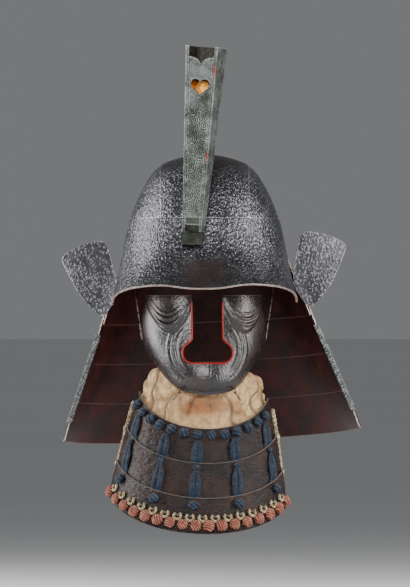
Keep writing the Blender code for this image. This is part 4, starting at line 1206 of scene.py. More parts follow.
def rope(heap, path, radius, plies, pitch, out, sides=6):
    """Plies twisted round each other along a path; pitch is the length of one full turn."""
    ply = radius * (0.58 if plies == 2 else 0.5)
    base = framed(path, 1.0, out)
    for number in range(plies):
        length, track = 0.0, []
        for index, (centre, side, lift) in enumerate(base):
            if index:
                length += (centre - base[index - 1][0]).length
            turn = math.tau * (length / pitch + number / plies)
            track.append(centre + (side * math.cos(turn) + lift * math.sin(turn)) * (radius - ply))
        strand(heap, framed(track, ply, out), sides)


SILK_PITCH = 6.0


def knot(heap, centre, side, out, size, wraps, slant, sections=(30, 15)):
    """A domed knot wrapped in slanting cords; size is its width, height and depth.

    Its UVs run across the cords, so that the silk's painted shade lines fall between them.
    """
    up = out.cross(side)
    across, rings = sections
    points, places = [], []
    for i in range(rings + 1):
        polar = math.pi * blend(0.02, 0.98, i / rings)
        for k in range(across):
            turn = math.tau * k / across
            square = (abs(math.cos(turn)) ** 2.6 + abs(math.sin(turn)) ** 2.6) ** (-1 / 2.6)
            x, z = math.cos(turn) * square * math.sin(polar), math.sin(turn) * square * math.sin(polar)
            cross = x * math.cos(slant) + z * math.sin(slant)
            swell = 0.8 + 0.26 * abs(math.sin(math.pi * wraps * (cross + 1) / 2)) ** 0.6
            place = centre + side * (x * size[0] / 2) + up * (z * size[1] / 2)
            points.append(blend(centre, place, swell) + out * (math.cos(polar) * size[2] / 2 * swell))
            places.append((0.0, SILK_PITCH * wraps * (cross + 1) / 4))
    faces = []
    for i in range(rings):
        for k in range(across):
            after = (k + 1) % across
            faces.append((i * across + k, i * across + after, (i + 1) * across + after, (i + 1) * across + k))
    faces += [tuple(range(across)), tuple(range(rings * across, (rings + 1) * across))]
    heap.add(points, faces, [[places[index] for index in face] for face in faces])


# %% [markdown]
# ### Silk materials
# All silks use the braided group with their own dye. Silk is matt with a soft sheen, which is a plain number
# on the shader's own socket. The height of the threads is in the mesh where it shows, and the bump adds the
# single threads.

# %% Materials: silk


def make_silk(name, dye, faded, look):
    made, tree, shader = new_material(name, 0.0, 0.78)
    shader["Specular IOR Level"].default_value = 0.2
    shader["Sheen Weight"].default_value = 0.06
    shader["Sheen Roughness"].default_value = 0.5
    weave = {"Pitch": look["pitch"], "Slant": look["slant"], "Fading": look["fading"]}
    braid = placed(tree, braided_silk, {"Dye": dye, "Faded": faded, **weave})
    dirty = placed(tree, dust, {"Amount": 0.25, "Patch": 10.0})["Mask"]
    plug(tree, mixed(tree, dirty, braid["Color"], (0.2, 0.17, 0.13, 1)), shader["Base Color"])
    bump(tree, shader, braid["Height"], 1.1 * MM)
    return made


BRAID = {"pitch": SILK_PITCH, "slant": 1.2, "fading": 0.6}
TWIST = {"pitch": SILK_PITCH, "slant": 1.0, "fading": 0.7}
blue_silk = make_silk("blue silk", (0.0015, 0.006, 0.02, 1), (0.03, 0.058, 0.1, 1), BRAID)
pale_silk = make_silk("grey-blue silk", (0.04, 0.07, 0.1, 1), (0.42, 0.42, 0.38, 1), {**BRAID, "fading": 0.8})
cream_silk = make_silk("cream silk", (0.42, 0.26, 0.09, 1), (0.7, 0.59, 0.38, 1), {**TWIST, "fading": 0.9})
salmon_silk = make_silk("salmon silk", (0.19, 0.042, 0.024, 1), (0.45, 0.18, 0.12, 1), TWIST)
print("four silks ready")

# %% Material: dark iron


def make_iron():
    made, tree, shader = new_material("dark iron", 0.9, 0.38)
    tone = placed(tree, mottling, {"Base": (0.075, 0.072, 0.07, 1), "Blotch": (0.12, 0.075, 0.05, 1),
                                   "Patch": 5.0, "Amount": 0.7})
    plug(tree, tone["Color"], shader["Base Color"])
    plug(tree, maths(tree, "ADD", 0.3, maths(tree, "MULTIPLY", tone["Mask"], 0.3)), shader["Roughness"])
    bump(tree, shader, speckle(tree, own_place(tree), 900.0, 3.0), 0.2 * MM)
    return made


dark_iron = make_iron()

# %% The red bead round the nose
NOSE_BEAD = 1.25 * MM


def mask_at(u, v, lift):
    """A point above the mask's outer face, and the way out there."""
    normal = surface_normal(mask_surface, u, v, MASK_MIDDLE)
    point = mask_place(mask_surface(u, v) + normal * lift)
    return point, turned(normal, "Z", MASK_YAW, Vector((0, 0, 0)))


def make_nose_bead():
    """Follow the outline, leaving out its two ends above the mask's edge."""
    outline = nose_outline(16)
    top = -MASK_TOP_DEPTH - 9 * MM
    shown = [(outline[0][0], top), *outline[1:-1], (outline[-1][0], top)]
    flat = smooth_path([Vector((x, 0, z)) for x, z in shown], 6)
    heap, path, outs = Heap(), [], []
    for point in flat:
        place, out = mask_at(*mask_shares(point.x, point.z), -0.2 * MM)
        path.append(place)
        outs.append(out)
    stations = []
    for index, (point, out) in enumerate(zip(path, outs)):
        heading = (path[min(index + 1, len(path) - 1)] - path[max(index - 1, 0)]).normalized()
        side = heading.cross(out).normalized()
        stations.append((point, side * NOSE_BEAD, out * NOSE_BEAD * 1.3))
    strand(heap, stations, 10)
    fit(heap.piece("nose_edge", [nose_red]), "brown_lacquer")


make_nose_bead()

# %% [markdown]
# ## The throat guard
# Three lames of lacquered leather hang below a collar, each outside the one above, so its rim throws a
# shadow. Their fronts curve and their corners rise. The lacquer has a drawn, leathery grain, and each rim
# carries a thin silvery line, partly wear and partly a painted highlight. The rims stand out a little, as on
# the real lames.

# %% Material: throat lacquer
# The worn colour paints a thin silvery line along the lames' top rims: partly wear, partly a painted
# highlight.
THROAT_LOOK = {
    **PLAIN_LOOK, "roughness": 0.36, "coat": 0.0, "patch": 22.0, "rim": 0.6, "wear_and_highlight": 0.45, "specular": 0.22,
    "worn": (0.22, 0.2, 0.18, 1), "grain": 4.2, "height": 2.4 * MM, "stretch": (0.5, 0.5, 1.5), "dust": 0.0,
}
throat_lacquer = make_smooth_lacquer(
    "throat lacquer", (0.006, 0.004, 0.0035, 1), (0.03, 0.013, 0.009, 1), THROAT_LOOK
)

# %% The throat guard's surface
THROAT_WALL = 1.8 * MM
THROAT_TOP_DEPTH = MASK_TOP_DEPTH + MASK_HEIGHT + 43 * MM
THROAT_HEIGHT = 131 * MM
THROAT_TOP_HALF_WIDTH = 80 * MM
THROAT_BOTTOM_HALF_WIDTH = 113 * MM
THROAT_TOP_REACH = 70 * MM
THROAT_BOTTOM_REACH = 108 * MM
THROAT_AXIS_Y = -36 * MM
THROAT_CORNER_RISE = 42 * MM
THROAT_SPAN = math.radians(82)
THROAT_LAMES = 3
THROAT_OVERLAP = 7 * MM
THROAT_ROLL = math.radians(3.2)
THROAT_OFFSET = -3.5 * MM
THROAT_MIDDLE = Vector((0, THROAT_AXIS_Y, -THROAT_TOP_DEPTH - 0.5 * THROAT_HEIGHT))
RIM_FLARE = 1.1 * MM


def throat_place(point):
    pivot = Vector((0, THROAT_AXIS_Y, -THROAT_TOP_DEPTH))
    return turned(point, "Y", THROAT_ROLL, pivot) + Vector((THROAT_OFFSET, 0, 0))


def throat_point(s, t):
    """The seat of the throat lames: s runs from right to left, t from the rim to the hem."""
    turn = s * THROAT_SPAN
    width = blend(THROAT_TOP_HALF_WIDTH, THROAT_BOTTOM_HALF_WIDTH, t**0.85)
    reach = blend(THROAT_TOP_REACH, THROAT_BOTTOM_REACH, t)
    x = width * math.sin(turn) / math.sin(THROAT_SPAN)
    y = THROAT_AXIS_Y - reach * math.cos(turn)
    rise = THROAT_CORNER_RISE * (1 - math.cos(turn)) / (1 - math.cos(THROAT_SPAN))
    return Vector((x, y, -THROAT_TOP_DEPTH - THROAT_HEIGHT * t + rise))


def throat_normal(s, t):
    return surface_normal(lambda u, v: throat_point(2 * u - 1, v), (s + 1) / 2, t, THROAT_MIDDLE)


def throat_rise(lame, t):
    """Each lame stands outside the one above it."""
    return (THROAT_WALL + SEAT_GAP) * (1 - (t * THROAT_LAMES - lame))


def throat_at(s, t, lame, lift):
    """A point above this lame's outer face, with its side and out directions."""
    normal = throat_normal(s, t)
    point = throat_place(throat_point(s, t) + normal * (throat_rise(lame, t) + lift))
    out = turned(normal, "Y", THROAT_ROLL, Vector((0, 0, 0)))
    return point, Vector((0, 0, 1)).cross(out).normalized(), out


def throat_height(point):
    """The height that a point would have on the middle line of the guard, without roll or corner rise."""
    pivot = Vector((0, THROAT_AXIS_Y, -THROAT_TOP_DEPTH))
    flat = turned(point - Vector((THROAT_OFFSET, 0, 0)), "Y", -THROAT_ROLL, pivot)
    turn = math.atan2(abs(flat.x), THROAT_AXIS_Y - flat.y)
    return flat.z - THROAT_CORNER_RISE * (1 - math.cos(turn)) / (1 - math.cos(THROAT_SPAN))


def keep_wear_and_highlight(piece, kept):
    """Clear the rim attribute, and with it the rim line, partly worn and partly a painted highlight, wherever
    kept(point) is false.
    """
    rim = piece.data.attributes["rim"].data
    for index, vertex in enumerate(piece.data.vertices):
        if not kept(vertex.co):
            rim[index].value = RIM_ATTRIBUTE_REACH


def make_throat_lame(lame):
    start = lame / THROAT_LAMES
    end = min((lame + 1) / THROAT_LAMES + THROAT_OVERLAP / THROAT_HEIGHT, 1)

    def surface(u, v):
        return throat_point(2 * u - 1, blend(start, end, v))

    def lift(u, v):
        flare = RIM_FLARE * eased((0.055 - v) / 0.055) * (1 if lame else 0.5)
        hem = RIM_FLARE * eased((v - 0.95) / 0.05) if lame == THROAT_LAMES - 1 else 0
        return throat_rise(lame, blend(start, end, v)) + flare + hem

    piece = sheet(f"throat_lame_{lame + 1}_lacquered", surface, (104, 22), THROAT_MIDDLE, lift, throat_place)
    round_off(piece, 1)
    middle = -THROAT_TOP_DEPTH - THROAT_HEIGHT * blend(start, end, 0.5)
    # Only the top rim of each lame keeps its silvery line of wear and painted highlight.
    keep_wear_and_highlight(piece, lambda point: throat_height(point) > middle)
    raise_grain(piece, "CLOUDS", 7 * MM, 0.9 * MM)
    wall_up(piece, (throat_lacquer, throat_lacquer, throat_lacquer), THROAT_WALL)
    fit(piece, "brown_lacquer", f"throat_lame_{lame + 1}")


for lame in range(THROAT_LAMES):
    make_throat_lame(lame)

# %% [markdown]
# ### The leather collar
# The collar is soft leather, pale and thick, that was once gilt or painted: its middle is brown just under
# the chin, partly a stain and partly a painted shadow of the chin. It is crumpled at both sides, with a few
# deep creases, and it ends inside the first lame. Soft swells come from a plain noise. The folds are thin
# lines where another noise crosses zero: the leather sinks there and the same lines are stored as an
# attribute, which the material darkens as painted shade in the creases.

# %% Material: buff leather


def make_leather():
    made, tree, shader = new_material("buff leather", 0.0, 0.72)
    tone = placed(tree, mottling, {"Base": (0.56, 0.37, 0.18, 1), "Blotch": (0.25, 0.12, 0.04, 1),
                                   "Patch": 16.0, "Amount": 0.8})
    # Brown for the middle under the chin: partly stain, partly a painted shadow of the chin.
    stain_and_shadow_tone = placed(tree, mottling, {"Base": (0.27, 0.1, 0.03, 1), "Blotch": (0.08, 0.028, 0.012, 1),
                                    "Patch": 12.0, "Amount": 0.9})
    browned = mixed(tree, attribute(tree, "stain_and_chin_shadow"), tone["Color"], stain_and_shadow_tone["Color"])
    # Painted shade darkens the creases.
    painted_crease_shade = mixed(tree, attribute(tree, "painted_crease_shade"), browned, (0.05, 0.022, 0.01, 1))
    dirty = placed(tree, dust, {"Amount": 0.25, "Patch": 14.0})["Mask"]
    plug(tree, mixed(tree, dirty, painted_crease_shade, (0.35, 0.22, 0.12, 1)), shader["Base Color"])
    plug(tree, maths(tree, "ADD", 0.62, maths(tree, "MULTIPLY", tone["Mask"], 0.2)), shader["Roughness"])
    pores = speckle(tree, own_place(tree), 260.0, 6.0, 0.7)
    bump(tree, shader, pores, 2.2 * MM)
    return made


buff_leather = make_leather()

# %% The collar
COLLAR_WALL = 2.4 * MM
COLLAR_TOP_HALF_WIDTH = 63.5 * MM
COLLAR_TOP_REACH = 57 * MM
COLLAR_TOP_DEPTH = MASK_TOP_DEPTH + MASK_HEIGHT - 36 * MM
COLLAR_DIP = 8 * MM
COLLAR_SPAN = math.radians(96)
COLLAR_SWELL = 6 * MM
COLLAR_FOLD = 1.6 * MM
COLLAR_HEM_SHARE = 0.06
COLLAR_FREE_SHARE = 0.8
# Where the collar is painted brown under the chin: partly stain, partly the chin's painted shadow.
STAIN_AND_CHIN_SHADOW = {"height": -320 * MM, "half_height": 12 * MM, "half_width": 34 * MM}


BROAD_FOLDS = 30
FINE_FOLDS = 75
FOLD_DEPTH = 3.2 * MM
WRINKLE_DEPTH = 1.1 * MM


def fold(point, per_metre):
    """1 along thin wandering lines, 0 between them."""
    return max(0.0, 1 - 4.5 * abs(grain.noise(point * per_metre)))


def crumple(point, free):
    """Wrinkles, in and out: sharp valleys between soft swells."""
    swell = 1.6 * MM * grain.noise(point * 34) + 0.6 * MM * grain.noise(point * 90)
    sunk = FOLD_DEPTH * fold(point, BROAD_FOLDS) ** 2
    return (swell - sunk - WRINKLE_DEPTH * fold(point, FINE_FOLDS)) * free


def collar_surface(u, v):
    """From a rim inside the mask's jaw down to the inner face of the first throat lame."""
    s = 2 * u - 1
    turn = s * COLLAR_SPAN
    head = Vector((
        COLLAR_TOP_HALF_WIDTH * math.sin(turn),
        THROAT_AXIS_Y + 2 * MM - COLLAR_TOP_REACH * math.cos(turn),
        -COLLAR_TOP_DEPTH - COLLAR_DIP * (1 - math.cos(turn)),
    ))
    tucked = throat_rise(0, COLLAR_HEM_SHARE) - THROAT_WALL - 2.4 * SEAT_GAP
    hem = throat_point(0.98 * s, COLLAR_HEM_SHARE) + throat_normal(0.98 * s, COLLAR_HEM_SHARE) * tucked
    folds = math.sin(9 * turn + 5 * v) + 0.6 * math.sin(17 * turn - 9 * v)
    free = min(v / COLLAR_FREE_SHARE, 1)
    swell = COLLAR_SWELL * math.sin(math.pi * free**0.7)
    swell += COLLAR_FOLD * (1 - free) * folds * math.sin(turn) ** 2
    point = head.lerp(hem, v) + Vector((math.sin(turn), 0, 0)) * swell
    point.y = blend(head.y, hem.y, v**1.5)
    out = Vector((math.sin(turn), -math.cos(turn), 0))
    return point + out * crumple(point, 1 - eased((v - 0.75) / 0.2))


def mark_collar(piece):
    """Where the leather is brown under the chin, partly discoloured and partly a painted shadow of the chin,
    and where painted shade darkens its folds.
    """
    stain_and_chin_shadows, crease_shades = [], []
    for vertex in piece.data.vertices:
        point = vertex.co
        down = (point.z - STAIN_AND_CHIN_SHADOW["height"]) / STAIN_AND_CHIN_SHADOW["half_height"]
        across = point.x / STAIN_AND_CHIN_SHADOW["half_width"]
        ragged = 0.5 * grain.noise(point * 45)
        # Brown under the chin: partly stain, partly a painted shadow of the chin.
        stain_and_chin_shadows.append(0.95 * eased(1.5 - math.hypot(down, across) + ragged) if point.y < 0 else 0.0)
        # Painted shade in the creases, stronger at the sides.
        side = 0.25 + 0.75 * eased((abs(point.x + 3 * MM) - 20 * MM) / (25 * MM))
        dark = max(eased((fold(point, BROAD_FOLDS) - 0.45) / 0.5), 0.55 * fold(point, FINE_FOLDS))
        crease_shades.append(0.95 * dark * side)
    for name, values in (("stain_and_chin_shadow", stain_and_chin_shadows), ("painted_crease_shade", crease_shades)):
        piece.data.attributes.new(name, "FLOAT", "POINT").data.foreach_set("value", values)


def make_collar():
    inside = Vector((0, THROAT_AXIS_Y, (-COLLAR_TOP_DEPTH - THROAT_TOP_DEPTH) / 2))
    piece = sheet("collar_leather", collar_surface, (150, 36), inside, 0.0, throat_place)
    mark_collar(piece)
    round_off(piece, 1)
    wall_up(piece, (buff_leather, buff_leather, buff_leather), COLLAR_WALL)
    fit(piece, "buff_leather", "collar")


make_collar()

# %% [markdown]
# ### Knots and laces
# Thirteen blue knots sit along the first rim, and five columns of blue cord in pairs tie lame to lame. Each
# pair swells like a spindle, with a cross knot where it comes out of a lame. The hem has a row of salmon
# knots with cream loops between them. All these places are shares s and t on the throat guard.

# %% Laces and knots
LACE_WIDTH = 14.5 * MM
LACE_THICKNESS = 3.8 * MM
RIM_KNOTS = 13
HEM_KNOTS = 17
HEM_LOOPS = 16
RIM_KNOT_DROP = 8.7 * MM
HEM_KNOT_RISE = 9 * MM
HEM_LOOP_RISE = 18.5 * MM
LACE_COLUMNS = (-0.79, -0.37, -0.03, 0.345, 0.77)
RIM_ROW = {"middle": -0.04, "step": 0.1385, "widening": 0.0}
HEM_ROW = {"middle": -0.005, "step": 0.1, "widening": 0.00022}


def row_of(count, row):
    """Shares s of the knots in a row: their step widens towards the ends."""
    places = [k - (count - 1) / 2 for k in range(count)]
    return [row["middle"] + row["step"] * place + row["widening"] * place**3 for place in places]


def make_knot_row(name, shares, t, lame, size, material, slot, wraps):
    heap = Heap()
    for index, s in enumerate(shares):
        centre, side, out = throat_at(s, t, lame, SEAT_GAP + size[2] * 0.36)
        slant = 0.75 + 0.5 * math.sin(2.3 * index)
        scale = 1 + 0.05 * math.sin(5.1 * index)
        knot(heap, centre, side, out, [length * scale for length in size], wraps, slant)
    fit(heap.piece(f"{name}_silk", [material]), slot, name)


def make_hem_loops():
    """Between each two salmon knots, a loop of cream cord hangs round a small dark eyelet."""
    cords, eyelets = Heap(), Heap()
    t = 1 - HEM_LOOP_RISE / THROAT_HEIGHT
    for index, s in enumerate(row_of(HEM_LOOPS, HEM_ROW)):
        centre, side, out = throat_at(s, t, THROAT_LAMES - 1, 2.0 * MM)
        up = out.cross(side)
        path = []
        for k in range(15):
            turn = math.radians(blend(-232, 52, k / 14))
            path.append(centre + side * math.cos(turn) * 4.4 * MM + up * math.sin(turn) * 4.2 * MM)
        rope(cords, path, 2.2 * MM, 2, 6.5 * MM, out, 7)
        above = centre + up * 1.6 * MM + out * 0.4 * MM
        knot(eyelets, above, side, out, (6.2 * MM, 5.2 * MM, 4.6 * MM), 1.0, 0.4, (12, 7))
    fit(cords.piece("hem_loops_silk", [cream_silk]), "cream_silk", "hem_loops")
    fit(eyelets.piece("hem_eyelets", [dark_iron]), "iron")


def make_lace(name, s, lame):
    """Two cords side by side down a lame, swelling like a spindle, with a cross knot on the second lame."""
    heap = Heap()
    start, end = lame / THROAT_LAMES, (lame + 1) / THROAT_LAMES
    crossed = lame == 1
    top = start + (9.5 * MM if crossed else 15.5 * MM) / THROAT_HEIGHT
    foot = end + 2.2 * MM / THROAT_HEIGHT
    for hand in (-1, 1):
        stations = []
        for k in range(15):
            share = k / 14
            swell = 0.4 + 0.6 * eased((share + 0.1) / 0.55) - 0.1 * eased((share - 0.7) / 0.3)
            spread = LACE_WIDTH * 0.25 * (0.3 + 0.7 * eased((share + 0.12) / 0.5))
            t = blend(top, foot, share)
            tuck = 1 - 0.75 * eased((share - 0.75) / 0.2)
            centre, side, out = throat_at(s, t, lame, SEAT_GAP + LACE_THICKNESS * 0.45 * tuck)
            width, depth = LACE_WIDTH * 0.27 * swell, LACE_THICKNESS * 0.5 * blend(swell, 1, 0.4) * tuck
            stations.append((centre + side * hand * spread, side * width, out * depth))
        strand(heap, stations, 12, lambda turn, length: 1 + 0.07 * math.cos(3 * turn + 1.9 * length))
    if crossed:
        centre, side, out = throat_at(s, start + 6.2 * MM / THROAT_HEIGHT, lame, SEAT_GAP + 1.7 * MM)
        knot(heap, centre, side, out, (9.2 * MM, 7.6 * MM, 5.4 * MM), 2.5, 0.8)
    fit(heap.piece(f"{name}_silk", [blue_silk]), "blue_silk", name)


rim_share = RIM_KNOT_DROP / THROAT_HEIGHT
rim_size = (12.6 * MM, 12 * MM, 8.4 * MM)
make_knot_row("rim_knots", row_of(RIM_KNOTS, RIM_ROW), rim_share, 0, rim_size, blue_silk, "blue_silk", 3.0)
hem_size = (14.2 * MM, 14 * MM, 9 * MM)
hem_share = 1 - HEM_KNOT_RISE / THROAT_HEIGHT
hem_row = row_of(HEM_KNOTS, HEM_ROW)
make_knot_row("hem_knots", hem_row, hem_share, THROAT_LAMES - 1, hem_size, salmon_silk, "salmon_silk", 5.0)
make_hem_loops()
last_share = (THROAT_LAMES - 1) / THROAT_LAMES + 10.2 * MM / THROAT_HEIGHT
last_size = (13.4 * MM, 12 * MM, 7.6 * MM)
for index, s in enumerate(LACE_COLUMNS):
    make_lace(f"upper_lace_{index + 1}", s, 0)
    make_lace(f"lower_lace_{index + 1}", s, 1)
    name = f"last_knot_{index + 1}"
    make_knot_row(name, [s], last_share, THROAT_LAMES - 1, last_size, blue_silk, "blue_silk", 3.0)

# %% [markdown]
# ### The edge cords
# A cream and brown cord, twisted from two plies, runs down both ends of the lames, with a cream knot where it
# passes a rim. Both plies share one silk whose brown dye fades to cream in patches.

# %% Edge cords
EDGE_CORD_RADIUS = 2.8 * MM


def make_edge_cord(side, word):
    path = []
    steps = 90
    for k in range(steps + 1):
        t = blend(0.1, 0.8, k / steps)
        corner, across, out = throat_at(side, t, 0, 0)
        path.append(corner + across * side * (EDGE_CORD_RADIUS * 0.93 + SEAT_GAP) + out * MM)
    heap = Heap()
    rope(heap, path, EDGE_CORD_RADIUS, 2, 11 * MM, Vector((1, 0, 0)), 8)
    for t in (0.36, 0.69):
        corner, across, out = throat_at(side, t, 0, 0)
        centre = corner + across * side * 2.9 * MM + out * 1.6 * MM
        knot(heap, centre, across, out, (6.4 * MM, 8.4 * MM, 6.4 * MM), 2.5, 0.9)
    fit(heap.piece(f"edge_cord_{word}_silk", [edge_silk]), "cream_silk", f"edge_cord_{word}")


edge_silk = make_silk("two-tone silk", (0.16, 0.075, 0.03, 1), (0.72, 0.6, 0.4, 1), {**TWIST, "fading": 1.0})
for side, word in SIDES:
    make_edge_cord(side, word)

# %% [markdown]
# ## Braids of the neck guard
# A flat plait of three grey-blue and cream cords binds the front edges of the lower lames. Each cord follows
# a sine across the width, and twice that sine in and out, so that the three pass over and under each other.

# %% Neck braids
NECK_BRAID_WIDTH = 7.5 * MM
NECK_BRAID_THICKNESS = 4.2 * MM
PLAIT_PITCH = 13 * MM


def neck_braid_at(side, t, lift):
    """A point on the front edge of the lames, with the lift in front of it."""
    edge = neck_point(1, t)
    forward = neck_front_edge(t) - SEAT_GAP - NECK_BRAID_THICKNESS / 2 - lift
    return neck_place(Vector((side * (edge.x + LAME_WALL / 2), forward, edge.z)))


def make_neck_braid(side, word):
    heap = Heap()
    first, last = NECK_FIRST_LAME_SHARE + 0.06, 0.9
    steps = 150
    length = (neck_braid_at(side, last, 0) - neck_braid_at(side, first, 0)).length
    out = Vector((0, -1, 0))
    for number in range(3):
        path = []
        for k in range(steps + 1):
            share = k / steps
            turn = math.tau * (share * length / PLAIT_PITCH + number / 3)
            across = NECK_BRAID_WIDTH * 0.3 * math.sin(turn)
            lift = NECK_BRAID_THICKNESS * 0.2 * math.sin(2 * turn)
            path.append(neck_braid_at(side, blend(first, last, share), lift) + Vector((across, 0, 0)))
        stations = [(c, a * 1.45 * MM, b * 1.1 * MM) for c, a, b in framed(path, 1.0, out)]
        strand(heap, stations, 7, lambda turn, length: 1 + 0.1 * math.cos(2 * turn + 3.4 * length))
    fit(heap.piece(f"neck_braid_{word}_silk", [pale_silk]), "blue_silk", f"neck_braid_{word}")


for side, word in SIDES:
    make_neck_braid(side, word)

# %% [markdown]
# ## The crest
# A tall square tube of gilt copper, now grey-green with age, stands in the holder on the brow. Its front is a
# sunken panel between raised borders, full of scrolls in low relief, with a boar's-eye heart cut out near the
# top and two cusps above it. Scrolls like these are old common ornament, so they are drawn afresh: a large
# spiral in each bend of a wave, with two small ones beside it. Relief is a distance: each point of the panel
# finds the nearest spiral and asks how far it lies from that spiral's arm, and rises where that is small.

# %% Material: patinated copper


def make_copper(name, wear_and_highlight, level):
    """level is the relief's share where the piece stores none."""
    made, tree, shader = new_material(name, 0.75, 0.4)
    relief = maths(tree, "MAXIMUM", attribute(tree, "relief"), level)
    tone = placed(tree, mottling, {"Base": (0.055, 0.062, 0.048, 1), "Blotch": (0.3, 0.325, 0.32, 1),
                                   "Patch": 22.0, "Amount": 0.95})
    olive = placed(tree, mottling, {"Base": (0.008, 0.01, 0.005, 1), "Blotch": (0.045, 0.052, 0.04, 1),
                                    "Patch": 24.0, "Amount": 0.9})
    raised = mixed(tree, relief, olive["Color"], tone["Color"])
    rim = placed(tree, edge_wear_and_highlight, {"Width": 0.7, "Patch": 9.0, "Amount": wear_and_highlight})["Mask"]
    edged = mixed(tree, rim, raised, (0.5, 0.51, 0.45, 1))
    reddened = mixed(tree, attribute(tree, "worn"), edged, (0.22, 0.055, 0.025, 1))
    dirty = placed(tree, dust, {"Amount": 0.15, "Patch": 16.0})["Mask"]
    plug(tree, mixed(tree, dirty, reddened, (0.25, 0.25, 0.2, 1)), shader["Base Color"])
    plug(tree, maths(tree, "SUBTRACT", 0.56, maths(tree, "MULTIPLY", relief, 0.14)), shader["Roughness"])
    fine = speckle(tree, own_place(tree), 500.0, 5.0, 0.65)
    bump(tree, shader, fine, 0.9 * MM)
    return made


def make_gilt():
    made, tree, shader = new_material("gilt lining", 0.75, 0.38)
    tone = placed(tree, mottling, {"Base": (0.95, 0.46, 0.07, 1), "Blotch": (0.32, 0.06, 0.015, 1),
                                   "Patch": 16.0, "Amount": 0.55})
    lit = mixed(tree, attribute(tree, "gilded"), (0.02, 0.018, 0.014, 1), tone["Color"])
    plug(tree, lit, shader["Base Color"])
    bump(tree, shader, speckle(tree, own_place(tree), 300.0, 4.0), 0.4 * MM)
    return made


copper = make_copper("patinated copper", 0.6, 0.0)
holder_copper = make_copper("holder copper", 0.0, 0.05)
gilt = make_gilt()
print("copper and gilt ready")

# %% The crest's frame
CREST_HEIGHT = 233.5 * MM
CREST_TOP_WIDTH = 42 * MM
CREST_FOOT_WIDTH = 24.5 * MM
CREST_TOP_DEPTH = 46 * MM
CREST_FOOT_DEPTH = 17.7 * MM
CREST_WALL = 1.4 * MM
CREST_BORDER = 4.2 * MM
CREST_SINK = 0.8 * MM
CREST_YAW = math.radians(-15)
CREST_LEAN = math.radians(4.1)
CREST_FOOT = Vector((-14.0 * MM, -122.3 * MM, -96.3 * MM))
HEART = {"width": 24 * MM, "height": 21 * MM, "middle": CREST_HEIGHT - 50 * MM}
CUSP_DROP = 13 * MM
CUSP_NOTCH = 11 * MM
CORD_HOLE = {"radius": 1.6 * MM, "height": CREST_HEIGHT - 47 * MM}
SCROLL_RISE = 0.28 * MM
SCROLL_TOP = 168 * MM
SCROLL_FOOT = 24 * MM


def crest_place(point):
    """From the crest's own frame, foot at the origin, to the helmet's."""
    return Matrix.Rotation(CREST_LEAN, 4, "Y") @ Matrix.Rotation(CREST_YAW, 4, "Z") @ point + CREST_FOOT


def panel_half(z):
    """Half the width of the sunken panel at this height."""
    share = z / CREST_HEIGHT
    return blend(CREST_FOOT_WIDTH, CREST_TOP_WIDTH, share) / 2 - CREST_BORDER * blend(0.7, 1.0, share)


SCROLL_BENDS = 8
SCROLL_PITCH = 2.5 * MM
CURLS = ((-0.4, 0.0), (0.72, 0.3), (0.6, -0.34))


def scroll_centres():
    """Where the spirals curl: a large one in each bend and two small ones beside it, as (x, z, hand)."""
    centres = []
    step = (SCROLL_TOP - SCROLL_FOOT) / SCROLL_BENDS
    for bend in range(SCROLL_BENDS):
        hand = -1 if bend % 2 else 1
        z = SCROLL_FOOT + step * (bend + 0.5)
        half = panel_half(z)
        for across, up in CURLS:
            centres.append((hand * half * across, z + step * up, hand))
    return centres


SCROLLS = scroll_centres()


def line_at(distance, width):
    """1 on a line and 0 beyond its width."""
    return eased(1.35 - distance / width)


def heart_distance(x, z):
    """Roughly how far a point lies outside the heart, in the heart's own shape."""
    px, pz = x / (HEART["width"] / 2), (z - HEART["middle"]) / (HEART["height"] / 2)
    turn = math.atan2(px, pz + 0.1)
    edge = 0.86 + 0.2 * abs(math.sin(turn)) ** 0.7 - 0.5 * max(math.cos(turn), 0) ** 12
    edge += 0.2 * max(-math.cos(turn), 0) ** 8
    return (math.hypot(px, pz + 0.1) - edge) * HEART["width"] / 2


def front_relief(x, z):
    """Height of the front's relief above its floor and how raised it counts for the colour."""
    half = panel_half(z)
    border = abs(x) - half
    if border > 0:
        groove = line_at(abs(border - 1.5 * MM), 0.4 * MM)
        return -0.35 * MM * groove, 0.75 - 0.6 * groove
    inner = line_at(abs(border + 1.7 * MM), 0.42 * MM) if z > 20 * MM else 0.0
    if z > HEART["middle"] + 15 * MM:
        edge = CREST_HEIGHT - CUSP_DROP - CUSP_NOTCH * (1 - math.sqrt(max(1 - (abs(x) / half - 1) ** 2, 0)))
        lip = line_at(abs(z - edge + 1.5 * MM), 0.7 * MM)
        return 0.4 * MM * max(lip, inner), max(lip, inner, 0.45)
    if z > SCROLL_TOP - 14 * MM:
        echo = line_at(abs(heart_distance(x, z) - 3.2 * MM), 0.5 * MM)
        scroll = 0.6 * scroll_height(x, z) if z < SCROLL_TOP else 0.0
        return SCROLL_RISE * max(echo, inner, scroll), max(echo, inner, scroll, 0.4)
    if z < SCROLL_FOOT:
        return foot_relief(x, z, half)
    scroll = max(scroll_height(x, z), inner)
    return SCROLL_RISE * scroll, max(scroll, 0.08)


def scroll_height(x, z):
    """The line of the nearest spiral; where two spirals meet, their arms run into each other."""
    centre = min(SCROLLS, key=lambda place: math.hypot(x - place[0], z - place[1]))
    across, up, hand = x - centre[0], z - centre[1], centre[2]
    arms = math.hypot(across, up) / SCROLL_PITCH + hand * math.atan2(up, across) / math.tau
    return line_at(abs(arms % 1 - 0.5) * SCROLL_PITCH, 0.5 * MM)


def foot_relief(x, z, half):
    """The bands at the foot: a dark one, a bright line and a small framed rectangle."""
    if z < 8 * MM:
        return -0.2 * MM, 0.0
    bright = max(line_at(abs(z - 8.9 * MM), 0.6 * MM), line_at(abs(z - 17.6 * MM), 0.5 * MM))
    inset = 10.6 * MM < z < 17 * MM and abs(x) < half - 1.5 * MM
    return 0.4 * MM * bright - (0.3 * MM if inset else 0), max(bright, 0.15 if inset else 0.5)


